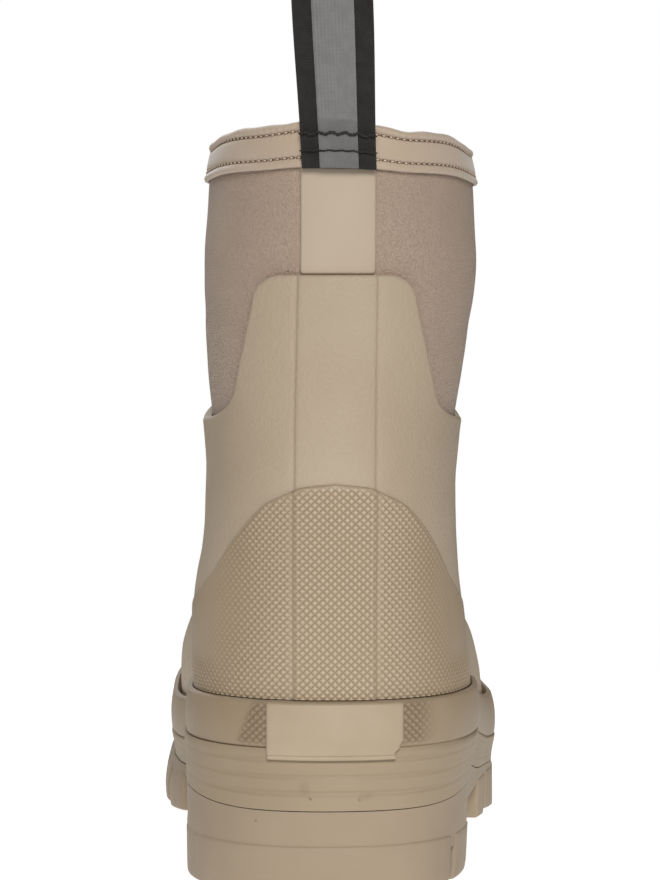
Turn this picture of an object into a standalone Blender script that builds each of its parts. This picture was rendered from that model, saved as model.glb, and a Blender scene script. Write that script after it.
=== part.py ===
"""A pull-on rubber boot for the right foot, standing empty on its sole.

+X is the outer side of the foot, +Y the toe and +Z up. The origin is on the floor under the middle of the boot.
Every wall is wrapped on one last, the outer face of the neoprene bootie: a place on it is a turn around the
boot (0 at the back, 0.25 outer side, 0.5 front, 0.75 inner side) and a level up it (0 the sole's floor, 1 the
top of the sole's side, 2 the top of the rand, 3 the instep, 4 the rim).
"""
import math

import bmesh
import bpy
from mathutils import Matrix, Vector

# Sizes of the whole boot, in metres
LENGTH = 0.299
BALL_WIDTH = 0.115
HEEL_WIDTH = 0.0915
ANKLE_WIDTH = 0.075
SHAFT_WIDTH = 0.0888
COLLAR_HEIGHT = 0.2372
INSTEP_HEIGHT = 0.112
TOE_SPRING = 0.012
BALL_SWING = 0.006
LEG_LEAN = 0.0052
LEG_TURN = math.radians(-3.2)
RIM_DIP, RIM_TILT = 0.0052, 0.02

# Heights of the sole's lines at the heel and at the ball
HEEL_SEAM, BALL_SEAM = 0.026, 0.017
HEEL_FLOOR, BALL_FLOOR = 0.033, 0.020
HEEL_EDGE, BALL_EDGE = 0.0451, 0.026

# Walls and clearances
GAP = 0.0003
NEOPRENE = 0.004
RUBBER = 0.0022
RELIEF = 0.0005
CUP_WALL = 0.003
RAND = 0.003
RAND_HEIGHT = 0.0145
INSOLE = 0.004
ARCH_RISE = 0.012
GROOVE_DEPTH = 0.007
GROOVE_WIDTH = 0.005
SIDE_GROOVE_HEIGHT = 0.0135
BELOW_GROUND = 0.010
RIB_DEPTH = 0.0006
LUG_FLARE = 0.002

# The overlays at the back and the collar
STAY_WIDTH, STAY = 0.0232, 0.001
TAB_WIDTH, TAB_TOP, TAB_FILLET = 0.0465, 0.190, 0.0087
TAB_FOOT_WIDTH, TAB_CORNER = 0.060, 0.007
TOP_LINE, VAMP_TOP_LINE = 0.1478, 0.158
PATCH, PATCH_TOP = 0.0007, 0.125
PLATE_WIDTH, PLATE_HEIGHT, PLATE_FOOT, PLATE = 0.0415, 0.0166, 0.0427, 0.0015
BINDING, BINDING_HEIGHT = 0.0012, 0.0142
LOOP_WIDTH, LOOP, LOOP_TOP, LOOP_BULGE = 0.0238, 0.0015, 0.290, 0.006
STRIPE_WIDTH, STRIPE = 0.0133, 0.0004

# Worked out from the sizes above
UPPER_OUT = GAP + RUBBER
SIDE_STACK = UPPER_OUT + GAP + CUP_WALL
RIM_HEIGHT = COLLAR_HEIGHT - BINDING - GAP
BINDING_OUT = GAP + BINDING
BINDING_FOOT = COLLAR_HEIGHT - BINDING_HEIGHT
ROUNDNESS = 2.2

# Along the foot: share of the length from the heel, share of the way from heel to ball width, and share of the
# swing of the centre line to the outer side
OUTLINE = (
    (0.00, 0.00, 0.00),
    (0.10, 0.00, 0.00),
    (0.20, 0.09, 0.20),
    (0.33, 0.12, 0.35),
    (0.44, 0.24, 0.70),
    (0.55, 0.53, 1.00),
    (0.63, 0.90, 1.00),
    (0.70, 1.00, 0.95),
    (0.78, 0.92, 0.85),
    (0.88, 0.72, 0.35),
    (1.00, 0.40, -0.30),
)
# Along the foot: share of the length, share of the heel's extra height, share of the toe spring
HEIGHTS = (
    (0.00, 1.00, 0.00),
    (0.24, 1.00, 0.00),
    (0.42, 0.52, 0.00),
    (0.60, 0.04, 0.00),
    (0.70, 0.00, 0.00),
    (0.80, 0.00, 0.16),
    (0.90, 0.00, 0.52),
    (1.00, 0.00, 1.00),
)
# Up the boot, by level: how far the back and the front stand in from the sole's ends, the shares of the foot's
# width and of the shaft's extra width, and the lengths of the round back and the round front, all but the two
# widths as shares of the length
SECTIONS = (
    # level, back, front, foot, shaft, round back, round front
    (0.00, 0.005, 0.006, 1.00, 0.00, 0.150, 0.207),
    (1.00, 0.000, 0.001, 1.00, 0.00, 0.150, 0.207),
    (1.60, 0.000, 0.000, 0.98, 0.00, 0.151, 0.208),
    (2.00, 0.001, 0.006, 0.94, 0.00, 0.153, 0.213),
    (2.10, 0.002, 0.017, 0.90, 0.00, 0.153, 0.224),
    (2.20, 0.004, 0.039, 0.83, 0.00, 0.154, 0.248),
    (2.30, 0.006, 0.080, 0.74, 0.00, 0.156, 0.283),
    (2.50, 0.012, 0.200, 0.51, 0.00, 0.160, 0.322),
    (2.75, 0.021, 0.326, 0.20, 0.00, 0.170, 0.305),
    (3.00, 0.029, 0.393, 0.03, 0.02, 0.183, 0.272),
    (3.20, 0.041, 0.457, 0.00, 0.16, 0.198, 0.233),
    (3.40, 0.047, 0.484, 0.00, 0.52, 0.210, 0.212),
    (3.62, 0.047, 0.491, 0.00, 0.96, 0.213, 0.212),
    (3.88, 0.043, 0.491, 0.00, 0.90, 0.213, 0.213),
    (4.00, 0.042, 0.488, 0.00, 0.66, 0.213, 0.213),
)
# Share of the height above the sole's side, share of the leg's lean and turn
LEAN = (
    (0.00, 0.00),
    (0.21, 0.12),
    (0.35, 0.33),
    (0.55, 0.52),
    (0.82, 0.97),
    (1.00, 1.00),
)
# Along the foot: share of the length, share of the rim's dip at the sides
RIM_LINE = (
    (0.04, 0.00),
    (0.13, 0.35),
    (0.21, 0.90),
    (0.28, 1.00),
    (0.36, 0.75),
    (0.45, 0.50),
)
# The side of the midsole: share of the height from the seam, depth of its ribs' grooves as a share of RIB_DEPTH,
# and how far it stands in at the seam as a share of the cup's wall
MIDSOLE_SIDE = (
    (0.00, 0.0, 0.45),
    (0.22, 0.0, 0.38),
    (0.27, 1.0, 0.36),
    (0.32, 0.0, 0.34),
    (0.50, 0.0, 0.25),
    (0.55, 1.0, 0.22),
    (0.60, 0.0, 0.19),
    (0.76, 0.0, 0.08),
    (0.81, 1.0, 0.05),
    (0.86, 0.0, 0.02),
    (1.00, 0.0, 0.00),
)
# The side of the tread: share of the height from the floor, how far the heel stands in as a share of the cup's
# wall, and how far the lugs of the forefoot flare out as a share of LUG_FLARE
TREAD_SIDE = (
    (0.00, 1.05, 0.35),
    (0.09, 0.85, 0.85),
    (0.40, 0.72, 1.00),
    (0.82, 0.58, 0.30),
    (1.00, 0.48, -0.55),
)
# Grooves of the tread: share of the length, reach inwards as a share of the half width there, slant in degrees
GROOVES = (
    (0.085, 0.52, 32.0),
    (0.190, 0.58, 8.0),
    (0.545, 0.62, 14.0),
    (0.625, 0.62, 14.0),
    (0.705, 0.62, 14.0),
    (0.785, 0.62, 14.0),
    (0.865, 0.58, 20.0),
)

# The arch from the heel's breast to the forefoot: share of the length, share of its rise, below 0 under the floor
ARCH = (
    (0.335, -0.40),
    (0.345, 0.55),
    (0.362, 0.92),
    (0.400, 1.00),
    (0.440, 0.86),
    (0.475, 0.45),
    (0.500, -0.40),
)
# The levels of the rings of points that the walls share
SHELL_LEVELS = (0, 1, 1.5, 2, 2.08, 2.16, 2.24, 2.33, 2.43, 2.54, 2.66, 2.8, 2.95, 3.1, 3.24, 3.38, 3.52, 3.7)
LINING_LEVELS = (0, 1, 2, 2.16, 2.33, 2.54, 2.8, 3.1, 3.38, 3.7)
SIDE_COLUMNS = 16
# The heel patch: how far round the boot its arch reaches, how round its top is, and how much its feet flare
PATCH_REACH, PATCH_SHOULDER, PATCH_FLARE = 0.2, 2.1, 0.12
SHAFT_AXIS = -0.224


def remove_startup_objects():
    for thing in list(bpy.data.objects):
        bpy.data.objects.remove(thing)


def read_table(table, key, column):
    """Reads a column between its rows, on a smooth curve that stays between them."""
    if key <= table[0][0]:
        return table[0][column]
    if key >= table[-1][0]:
        return table[-1][column]
    slopes = [(b[column] - a[column]) / (b[0] - a[0]) for a, b in zip(table, table[1:])]
    row = max(i for i in range(len(slopes)) if table[i][0] <= key)

    def tangent(i):
        before, after = slopes[max(i - 1, 0)], slopes[min(i, len(slopes) - 1)]
        return 0.0 if before * after <= 0 else 2 * before * after / (before + after)

    (x0, y0), (x1, y1) = ((table[i][0], table[i][column]) for i in (row, row + 1))
    span = x1 - x0
    s = (key - x0) / span
    return (y0 * (1 + 2 * s) * (1 - s) ** 2 + y1 * s * s * (3 - 2 * s)
            + span * s * (1 - s) * (tangent(row) * (1 - s) - tangent(row + 1) * s))


def along(y):
    """The share of the length from the heel."""
    return y / LENGTH + 0.5


def line_height(y, heel, ball):
    """The height of a line that runs along the sole's side."""
    share = along(y)
    return ball + (heel - ball) * read_table(HEIGHTS, share, 1) + TOE_SPRING * read_table(HEIGHTS, share, 2)


def level_height(level, y):
    """The height of a level. Up to the rand the levels follow the sole, and from the instep up they are flat."""
    floor = line_height(y, HEEL_FLOOR, BALL_FLOOR) + GAP
    edge = line_height(y, HEEL_EDGE, BALL_EDGE)
    knots = (floor, edge, edge + RAND_HEIGHT, INSTEP_HEIGHT, RIM_HEIGHT)
    step = min(max(int(level), 0), 3)
    return knots[step] + (knots[step + 1] - knots[step]) * (level - step)


def level_at(z, y=-LENGTH / 2):
    """The level of a height at the heel, by halving."""
    low, high = -1.0, 6.0
    for _ in range(40):
        middle = (low + high) / 2
        if level_height(middle, y) < z:
            low = middle
        else:
            high = middle
    return high


def section(level):
    """The back and front ends of the last at a level, and its two round ends' lengths."""
    back = SIDE_STACK - LENGTH / 2 + LENGTH * read_table(SECTIONS, level, 1)
    front = LENGTH / 2 - SIDE_STACK - LENGTH * read_table(SECTIONS, level, 2)
    round_back = LENGTH * read_table(SECTIONS, level, 5)
    round_front = LENGTH * read_table(SECTIONS, level, 6)
    fit = min(1.0, (front - back) / (round_back + round_front))
    return back, front, round_back * fit, round_front * fit


def half_width(level, y):
    """The last's half width at a level, before its ends are rounded."""
    heel, ball = HEEL_WIDTH / 2 - SIDE_STACK, BALL_WIDTH / 2 - SIDE_STACK
    foot = heel + (ball - heel) * read_table(OUTLINE, along(y), 1)
    ankle, shaft = ANKLE_WIDTH / 2, SHAFT_WIDTH / 2
    return (ankle + (foot - ankle) * read_table(SECTIONS, level, 3)
            + (shaft - ankle) * read_table(SECTIONS, level, 4))


def round_end(inset):
    """The share of the width that is left at an inset past the start of a round end."""
    inset = min(max(inset, 0.0), 1.0)
    return (1 - inset ** ROUNDNESS) ** (1 / ROUNDNESS)


def on_last(turn, level):
    """A point of the last, before the leg leans."""
    back, front, round_back, round_front = section(level)
    turn %= 1.0
    y = back + (front - back) * (1 - math.cos(2 * math.pi * turn)) / 2
    width = half_width(level, y)
    width *= round_end((back + round_back - y) / round_back)
    width *= round_end((y - front + round_front) / round_front)
    side = 1 if turn < 0.5 else -1
    centre = BALL_SWING * read_table(OUTLINE, along(y), 2) * read_table(SECTIONS, level, 3)
    return Vector((centre + side * width, y, level_height(level, y)))


def facing(turn, level):
    """The last's outward normal. It is level at the rim and inside the sole's cup."""
    step = 0.002
    around = on_last(turn + step, level) - on_last(turn - step, level)
    up = on_last(turn, level + step) - on_last(turn, level - step)
    normal = around.cross(up).normalized()
    if level <= 1 or level >= 4:
        normal.z = 0.0
    return normal.normalized()


def last_point(turn, level, out):
    return on_last(turn, level) + facing(turn, level) * out


def turn_at(x, level):
    """The turn, on the back half, where the last is x to the outer side of the back line."""
    back, front, round_back, _ = section(level)
    share = min(abs(x) / half_width(level, back), 0.985)
    y = back + round_back * (1 - (1 - share ** ROUNDNESS) ** (1 / ROUNDNESS))
    turn = math.acos(1 - 2 * (y - back) / (front - back)) / (2 * math.pi)
    return math.copysign(turn, x)


def columns(level):
    """The turns of the columns that all walls share, with one each side of the back strip's two edges."""
    edge = STAY_WIDTH / 2
    strip = [turn_at(x, level) for x in (edge / 2, edge - RELIEF / 2, edge + RELIEF / 2)]
    outer = strip[-1]
    half = strip + [outer + (0.5 - outer) * i / SIDE_COLUMNS for i in range(1, SIDE_COLUMNS)]
    return [0.0] + half + [0.5] + [1 - turn for turn in reversed(half)]


def strip_relief(column):
    """What the back strip adds to the rubber's outer face, at one of the shared columns."""
    last_column = 2 * SIDE_COLUMNS + 5
    return RELIEF if column in (0, 1, 2, last_column - 1, last_column) else 0.0


def lean(point):
    """Leans and turns the leg, more the higher it is, and lets the rim dip at its sides."""
    height = (point.z - HEEL_EDGE) / (COLLAR_HEIGHT - HEEL_EDGE)
    share = read_table(LEAN, height, 1)
    axis = Vector((0.0, SHAFT_AXIS * LENGTH, 0.0))
    turned = Matrix.Rotation(LEG_TURN * share, 4, "Z") @ (point - axis) + axis
    near_rim = max(0.0, (point.z - TAB_TOP) / (COLLAR_HEIGHT - TAB_TOP))
    drop = min(near_rim, 1.0) ** 2 * (RIM_DIP * read_table(RIM_LINE, along(point.y), 1) + RIM_TILT * point.x)
    return turned + Vector((LEG_LEAN * share, 0.0, -drop))


def material(name, colour, roughness):
    finish = bpy.data.materials.new(name)
    finish.use_nodes = True
    shader = finish.node_tree.nodes["Principled BSDF"]
    shader.inputs["Base Color"].default_value = (*colour, 1.0)
    shader.inputs["Roughness"].default_value = roughness
    shader.inputs["Metallic"].default_value = 0.0
    return finish


def add_object(name, mesh_builder, finish):
    """Makes a named object of a bmesh, smooth on its curves and sharp at its edges."""
    bmesh.ops.recalc_face_normals(mesh_builder, faces=mesh_builder.faces)
    mesh = bpy.data.meshes.new(name)
    mesh_builder.to_mesh(mesh)
    mesh_builder.free()
    mesh.shade_smooth()
    mesh.set_sharp_from_angle(angle=math.radians(40))
    piece = bpy.data.objects.new(name, mesh)
    bpy.context.collection.objects.link(piece)
    if finish:
        mesh.materials.append(finish)
    return piece


def loop_grid(rings, closed):
    """A skin over rings of points with as many points each, the last ring joined to the first if closed.

    Its diagonals all rise the same way round the boot, so that walls on the same columns keep their gap.
    """
    built = bmesh.new()
    verts = [[built.verts.new(lean(point)) for point in ring] for ring in rings]
    pairs = list(zip(verts, verts[1:])) + ([(verts[-1], verts[0])] if closed else [])
    for low, high in pairs:
        rising = sum(vert.co.z for vert in low) < sum(vert.co.z for vert in high)
        for i in range(len(low)):
            j = (i + 1) % len(low)
            if rising:
                built.faces.new((low[i], low[j], high[j]))
                built.faces.new((low[i], high[j], high[i]))
            else:
                built.faces.new((low[i], low[j], high[i]))
                built.faces.new((low[j], high[j], high[i]))
    return built, verts


def ladder_cap(built, ring):
    """Closes a ring around the foot with rungs from side to side, so that it follows the foot's heights."""
    count = len(ring)
    built.faces.new((ring[0], ring[1], ring[-1]))
    for i in range(1, count // 2 - 1):
        built.faces.new((ring[i], ring[i + 1], ring[count - i - 1], ring[count - i]))
    half = count // 2
    built.faces.new((ring[half - 1], ring[half], ring[half + 1]))


def ring_around(level, out, relief=False):
    return [last_point(turn, level, out + (strip_relief(i) if relief else 0.0))
            for i, turn in enumerate(columns(level))]


def band(name, sections, finish):
    """A closed wall around the boot, of (level, out, with the back strip's relief) round its section."""
    built, _ = loop_grid([ring_around(*part) for part in sections], closed=True)
    return add_object(name, built, finish)


def panel(name, width, sections, finish, steps=8):
    """A closed pad at the back of the boot, width across, of (level, out) round its section."""
    rows = []
    for level, out in sections:
        row = [turn_at(width / 2 * (2 * i / steps - 1), level) for i in range(steps + 1)]
        rows.append([last_point(turn, level, out) for turn in row])
    built = bmesh.new()
    verts = [[built.verts.new(lean(point)) for point in row] for row in rows]
    for low, high in zip(verts, verts[1:] + verts[:1]):
        for i in range(steps):
            built.faces.new((low[i], low[i + 1], high[i + 1], high[i]))
    half = len(verts) // 2
    for end in (0, steps):
        for i in range(half - 1):
            built.faces.new((verts[i][end], verts[i + 1][end], verts[-i - 2][end], verts[-i - 1][end]))
    return add_object(name, built, finish)


def cut(piece, cutter, operation="DIFFERENCE"):
    cutter.hide_render = True
    cutter.display_type = "WIRE"
    modifier = piece.modifiers.new(cutter.name, "BOOLEAN")
    modifier.operation = operation
    modifier.solver = "EXACT"
    modifier.object = cutter


def shaft(finish):
    outer = [(level, 0.0) for level in (*SHELL_LEVELS, level_at(BINDING_FOOT), 4)]
    lining = [(level, -NEOPRENE) for level in (4, level_at(BINDING_FOOT), *reversed(LINING_LEVELS))]
    return band("shaft", outer + lining, finish)


def tab_outline():
    """The outer half of the back tab's outline, as (x, z) from its foot up to the back line."""
    foot, top = TAB_FOOT_WIDTH / 2, TAB_WIDTH / 2
    fillet = [(foot + TAB_FILLET * (1 - math.sin(a)), TOP_LINE + TAB_FILLET * (1 - math.cos(a)))
              for a in (math.radians(i * 15) for i in range(7))]
    corner = [(top - TAB_CORNER * (1 - math.cos(a)), TAB_TOP - TAB_CORNER * (1 - math.sin(a)))
              for a in (math.radians(i * 15) for i in range(7))]
    return fillet + corner + [(STAY_WIDTH / 4, TAB_TOP), (0.0, TAB_TOP)]


def top_line():
    """The upper's top line as (turn, level), all the way round from the back."""
    tab = [(turn_at(x, level_at(z)), level_at(z)) for x, z in reversed(tab_outline())]
    start = tab[-1][0]
    steps = 22
    side = []
    for i in range(1, steps):
        turn = start + (0.5 - start) * i / steps
        share = (1 - math.cos(math.pi * max(0.0, (turn - 0.22) / 0.28))) / 2
        side.append((turn, level_at(TOP_LINE + (VAMP_TOP_LINE - TOP_LINE) * share)))
    half = tab + side
    front = [(0.5, level_at(VAMP_TOP_LINE))]
    return half + front + [(1 - turn, level) for turn, level in reversed(half[1:])]


def curtain(name, line, below, above, closed):
    """A cutter that hangs on a line of (turn, level), from a level below it to one above it."""
    inside, outside = -NEOPRENE * 2, SIDE_STACK * 2
    rows = [[last_point(turn, low if below is None else below, out) for turn, low in line] for out in (inside, outside)]
    rows += [[last_point(turn, low if above is None else above, out) for turn, low in line]
             for out in (outside, inside)]
    if closed:
        built, _ = loop_grid(rows, closed=True)
        return add_object(name, built, None)
    built = bmesh.new()
    verts = [[built.verts.new(lean(point)) for point in row] for row in rows]
    for low, high in zip(verts, verts[1:] + verts[:1]):
        for i in range(len(line) - 1):
            built.faces.new((low[i], low[i + 1], high[i + 1], high[i]))
    for end in (0, -1):
        built.faces.new([row[end] for row in verts])
    return add_object(name, built, None)


def upper(finish):
    outer = [(level, UPPER_OUT, level > 1) for level in SHELL_LEVELS]
    inner = [(level, GAP, False) for level in reversed(SHELL_LEVELS)]
    piece = band("upper", outer + inner, finish)
    cut(piece, curtain("above_the_top_line", top_line(), None, 4.1, closed=True))
    return piece


def patch_line():
    """The heel patch's arched edge as (turn, level), from one side to the other."""
    rise, steps = PATCH_TOP - HEEL_EDGE, 14
    half = []
    for i in range(steps + 1):
        share = i / steps
        drop = rise * share ** PATCH_SHOULDER * (1 - PATCH_FLARE * share)
        half.append((PATCH_REACH * share, level_at(PATCH_TOP - drop)))
    return [(-turn, level) for turn, level in reversed(half[1:])] + half


def heel_patch(finish):
    """The knurled dome, cut from a shell over the upper that keeps its gap to it."""
    first, last = 2 + 2 * GAP / (INSTEP_HEIGHT - HEEL_EDGE - RAND_HEIGHT), level_at(PATCH_TOP + 2 * RUBBER)
    levels = [first] + [level for level in SHELL_LEVELS if 2 < level < last] + [last]
    lift = UPPER_OUT + GAP
    rings = [(level, lift, True) for level in levels] + [(level, lift + PATCH, True) for level in reversed(levels)]
    piece = band("heel_patch", rings, finish)
    cut(piece, curtain("under_the_patch_line", patch_line(), 1.7, None, closed=False), "INTERSECT")
    return piece


def rand(finish):
    """The band round the join of upper and sole, with rounded edges and a slight belly."""
    foot, head = 1 + GAP / RAND_HEIGHT, 2 - GAP / RAND_HEIGHT
    inside, outside = UPPER_OUT + GAP, UPPER_OUT + GAP + RAND
    sections = [
        (foot, inside, False),
        (foot, outside - RAND * 0.35, False),
        (1.12, outside, False),
        (1.5, outside + RAND * 0.2, False),
        (1.86, outside, False),
        (head, outside - RAND * 0.45, False),
        (head, inside, True),
        (1.5, inside, True),
    ]
    return band("rand", sections, finish)


def sole_ring(level, out, z_of):
    """A ring of the sole's outline, out from the last, at the height that z_of gives along the foot."""
    ring = []
    for turn in columns(level):
        normal = facing(turn, level)
        point = on_last(turn, level) + normal * out(along(on_last(turn, level).y))
        point.z = z_of(on_last(turn, level).y)
        ring.append(point)
    return ring


def seam_height(y):
    return line_height(y, HEEL_SEAM, BALL_SEAM)


def edge_height(y):
    return line_height(y, HEEL_EDGE, BALL_EDGE)


def floor_height(y):
    return line_height(y, HEEL_FLOOR, BALL_FLOOR)


def midsole(finish):
    """The cup under and around the foot, with the ribs of its side."""
    rings = []
    for share, groove, inset in MIDSOLE_SIDE:
        out = SIDE_STACK - RIB_DEPTH * groove - CUP_WALL * inset
        rings.append(sole_ring(1, lambda _, out=out: out,
                               lambda y, share=share: (seam_height(y) + GAP) * (1 - share) + edge_height(y) * share))
    cup = UPPER_OUT + GAP
    rings.append(sole_ring(1, lambda _: cup, edge_height))
    rings.append(sole_ring(0, lambda _: cup, floor_height))
    built, verts = loop_grid(rings, closed=False)
    ladder_cap(built, verts[0])
    ladder_cap(built, verts[-1])
    return add_object("midsole", built, finish)


def tread_height(y):
    return TOE_SPRING * read_table(HEIGHTS, along(y), 2)


def forefoot_share(share):
    return min(max((share - 0.46) / 0.16, 0.0), 1.0)


def groove_cutters():
    """One L-shaped cutter a groove: deep under the tread, and higher where it opens on the sole's side."""
    built = bmesh.new()
    outline_out = SIDE_STACK + LUG_FLARE
    for share, reach, slant in GROOVES:
        y = (share - 0.5) * LENGTH
        back, front, _, _ = section(1)
        turn = math.acos(1 - 2 * (y - back) / (front - back)) / (2 * math.pi)
        for side in (1, -1):
            edge = on_last(turn * side, 1)
            normal = facing(turn * side, 1)
            half = abs(edge.x) + outline_out
            rim = Vector((edge.x, y, 0.0)) + normal * (outline_out + LUG_FLARE)
            inwards = Vector((-side, 0.0, 0.0)) @ Matrix.Rotation(math.radians(slant) * side, 3, "Z")
            across = inwards.cross(Vector((0, 0, 1)))
            ground = tread_height(y)
            side_depth = CUP_WALL * 1.4
            profile = (
                (-LUG_FLARE, -BELOW_GROUND),
                (half * reach, -BELOW_GROUND),
                (half * reach, ground + GROOVE_DEPTH),
                (side_depth, ground + GROOVE_DEPTH),
                (side_depth, ground + SIDE_GROOVE_HEIGHT),
                (-LUG_FLARE, ground + SIDE_GROOVE_HEIGHT),
            )
            ends = []
            for half_step in (-0.5, 0.5):
                ends.append([built.verts.new(rim + inwards * s + across * GROOVE_WIDTH * half_step + Vector((0, 0, z)))
                             for s, z in profile])
            built.faces.new(ends[0])
            built.faces.new(list(reversed(ends[1])))
            for i in range(len(profile)):
                j = (i + 1) % len(profile)
                built.faces.new((ends[0][j], ends[0][i], ends[1][i], ends[1][j]))
    return add_object("tread_grooves", built, None)


def arch_cutter():
    """The raised arch between the heel's breast and the forefoot's tread."""
    built = bmesh.new()
    ends = []
    for x in (-BALL_WIDTH, BALL_WIDTH):
        ends.append([built.verts.new((x, (share - 0.5) * LENGTH, rise * ARCH_RISE)) for share, rise in ARCH])
    built.faces.new(ends[0])
    built.faces.new(list(reversed(ends[1])))
    for i in range(len(ARCH)):
        j = (i + 1) % len(ARCH)
        built.faces.new((ends[0][j], ends[0][i], ends[1][i], ends[1][j]))
    return add_object("arch", built, None)


def outsole(finish):
    """The tread: a tapering heel block, a raised arch, and lugs that flare out round the forefoot."""
    rings = []
    for share, heel_in, lug_out in TREAD_SIDE:
        def out(place, heel_in=heel_in, lug_out=lug_out):
            fore = forefoot_share(place)
            return SIDE_STACK - CUP_WALL * heel_in * (1 - fore) + LUG_FLARE * lug_out * fore
        rings.append(sole_ring(1, out, lambda y, share=share: tread_height(y) * (1 - share) + seam_height(y) * share))
    built, verts = loop_grid(rings, closed=False)
    ladder_cap(built, verts[0])
    ladder_cap(built, verts[-1])
    piece = add_object("outsole", built, finish)
    cut(piece, arch_cutter())
    cut(piece, groove_cutters())
    return piece


def insole(finish):
    inside = -NEOPRENE - GAP
    rings = [sole_ring(0, lambda _: inside, lambda y, up=up: floor_height(y) + up) for up in (GAP, GAP + INSOLE)]
    built, verts = loop_grid(rings, closed=False)
    ladder_cap(built, verts[0])
    ladder_cap(built, verts[-1])
    return add_object("insole", built, finish)


def reach_on_last(x, level, out):
    """Where on the last a point stands whose place out from it is x to the side of the back line."""
    reach = x
    for _ in range(6 if x else 0):
        reach *= x / last_point(turn_at(reach, level), level, out).x
    return reach


def back_face_y(x, level, out):
    """How far along Y the back of a wall is, x to the side of the back line and out from the last."""
    return last_point(turn_at(reach_on_last(x, level, out), level), level, out).y


def heel_plate(finish):
    """The bare plate on the rand. Its foot stands clear of the sole's edge, and its head lies on the rand."""
    over_sole, over_rand = SIDE_STACK + GAP, UPPER_OUT + GAP + RAND * 1.2 + GAP
    outside, bevel = over_rand + PLATE * 0.7, PLATE * 0.3
    foot, edge = level_at(PLATE_FOOT), level_at(HEEL_EDGE)
    above_foot, below_head = level_at(PLATE_FOOT + bevel), level_at(PLATE_FOOT + PLATE_HEIGHT - bevel)
    head, clear = level_at(PLATE_FOOT + PLATE_HEIGHT), level_at(HEEL_EDGE + 2 * GAP)
    sections = [(foot, over_sole), (edge, over_sole), (clear, over_rand), (head, over_rand),
                (head, outside - bevel), (below_head, outside), (above_foot, outside), (foot, outside - bevel)]
    width = 2 * reach_on_last(PLATE_WIDTH / 2, head, outside)
    return panel("heel_plate", width, sections, finish, steps=10)


def back_stay(finish):
    """The smooth strip up the back of the neoprene, from the tab to the binding."""
    foot, head = level_at(TAB_TOP + GAP), level_at(BINDING_FOOT - GAP)
    steps = [foot] + [level for level in SHELL_LEVELS if foot < level < head] + [head]
    sections = [(level, GAP) for level in steps] + [(level, GAP + STAY) for level in reversed(steps)]
    return panel("back_stay", STAY_WIDTH, sections, finish)


def collar_binding(finish):
    """The tape folded over the rim, wider at its foot on both faces."""
    foot, rim = level_at(BINDING_FOOT), 4
    top = level_at(COLLAR_HEIGHT)
    inside = -NEOPRENE - GAP
    clear = level_at(RIM_HEIGHT + GAP)
    sections = [
        (foot, GAP, False),
        (foot, BINDING_OUT, False),
        (rim, BINDING_OUT, False),
        (top, BINDING_OUT - BINDING * 0.9, False),
        (top, inside + BINDING * 0.1, False),
        (rim, inside - BINDING, False),
        (foot, inside - BINDING, False),
        (foot, inside, False),
        (clear, inside, False),
        (clear, GAP, False),
    ]
    return band("collar_binding", sections, finish)


def loop_path():
    """The pull loop's middle line as (y, z), from its outer foot over the top to its inner foot."""
    back = on_last(0.0, level_at(BINDING_FOOT)).y
    outer = back - BINDING_OUT - GAP - LOOP / 2
    inner = back + NEOPRENE + GAP + BINDING + GAP + LOOP / 2
    outer_top, inner_top = outer - LOOP_BULGE * 0.6, inner + LOOP_BULGE * 0.4
    radius = (inner_top - outer_top) / 2
    shoulder = LOOP_TOP - LOOP / 2 - radius
    rise = shoulder - COLLAR_HEIGHT
    leg = [(0.0, 0.0), (0.3, 0.16), (0.65, 0.7), (1.0, 1.0)]
    path = [(outer, BINDING_FOOT + GAP)]
    path += [(outer + (outer_top - outer) * out, COLLAR_HEIGHT + rise * up) for up, out in leg]
    for degrees in range(30, 180, 30):
        angle = math.radians(degrees)
        path.append((outer_top + radius * (1 - math.cos(angle)), shoulder + radius * math.sin(angle)))
    path += [(inner + (inner_top - inner) * out, COLLAR_HEIGHT + rise * up) for up, out in reversed(leg)]
    return path + [(inner, BINDING_FOOT + GAP)]




def ribbon(name, path, width, low, high, finish, steps=4):
    """A strap along a path of (y, z), between two distances out from it, bowed to the back of the leg."""
    level = level_at(BINDING_FOOT)
    back = on_last(0.0, level).y
    points = [Vector((0.0, y, z)) for y, z in path]
    rows = []
    for i, point in enumerate(points):
        ahead = (points[min(i + 1, len(points) - 1)] - points[max(i - 1, 0)]).normalized()
        normal = ahead.cross(Vector((1, 0, 0)))
        rise = (point.z - COLLAR_HEIGHT) / (LOOP_TOP - COLLAR_HEIGHT)
        bow = 1 - 0.75 * min(max(rise, 0.0), 1.0)
        row = []
        for out in (low, high):
            for j in range(steps + 1):
                x = width / 2 * (2 * j / steps - 1)
                sag = back_face_y(x, level, back - point.y) - point.y
                row.append(point + normal * -out + Vector((x, sag * bow, 0.0)))
        rows.append(row[:steps + 1] + row[:steps:-1])
    built = bmesh.new()
    verts = [[built.verts.new(lean(point)) for point in row] for row in rows]
    count = len(verts[0])
    for low_row, high_row in zip(verts, verts[1:]):
        for i in range(count):
            j = (i + 1) % count
            built.faces.new((low_row[i], low_row[j], high_row[j], high_row[i]))
    for end in (verts[0], verts[-1]):
        for i in range(steps):
            built.faces.new((end[i], end[i + 1], end[-i - 2], end[-i - 1]))
    return add_object(name, built, finish)


def pull_loop(finish):
    return ribbon("pull_loop", loop_path(), LOOP_WIDTH, -LOOP / 2, LOOP / 2, finish)


def reflective_strip(finish):
    """The stripe on the loop's outer face, up its outer leg and over its top."""
    path = loop_path()[:8]
    return ribbon("reflective_strip", path, STRIPE_WIDTH, LOOP / 2 + GAP, LOOP / 2 + GAP + STRIPE, finish, steps=2)


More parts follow.
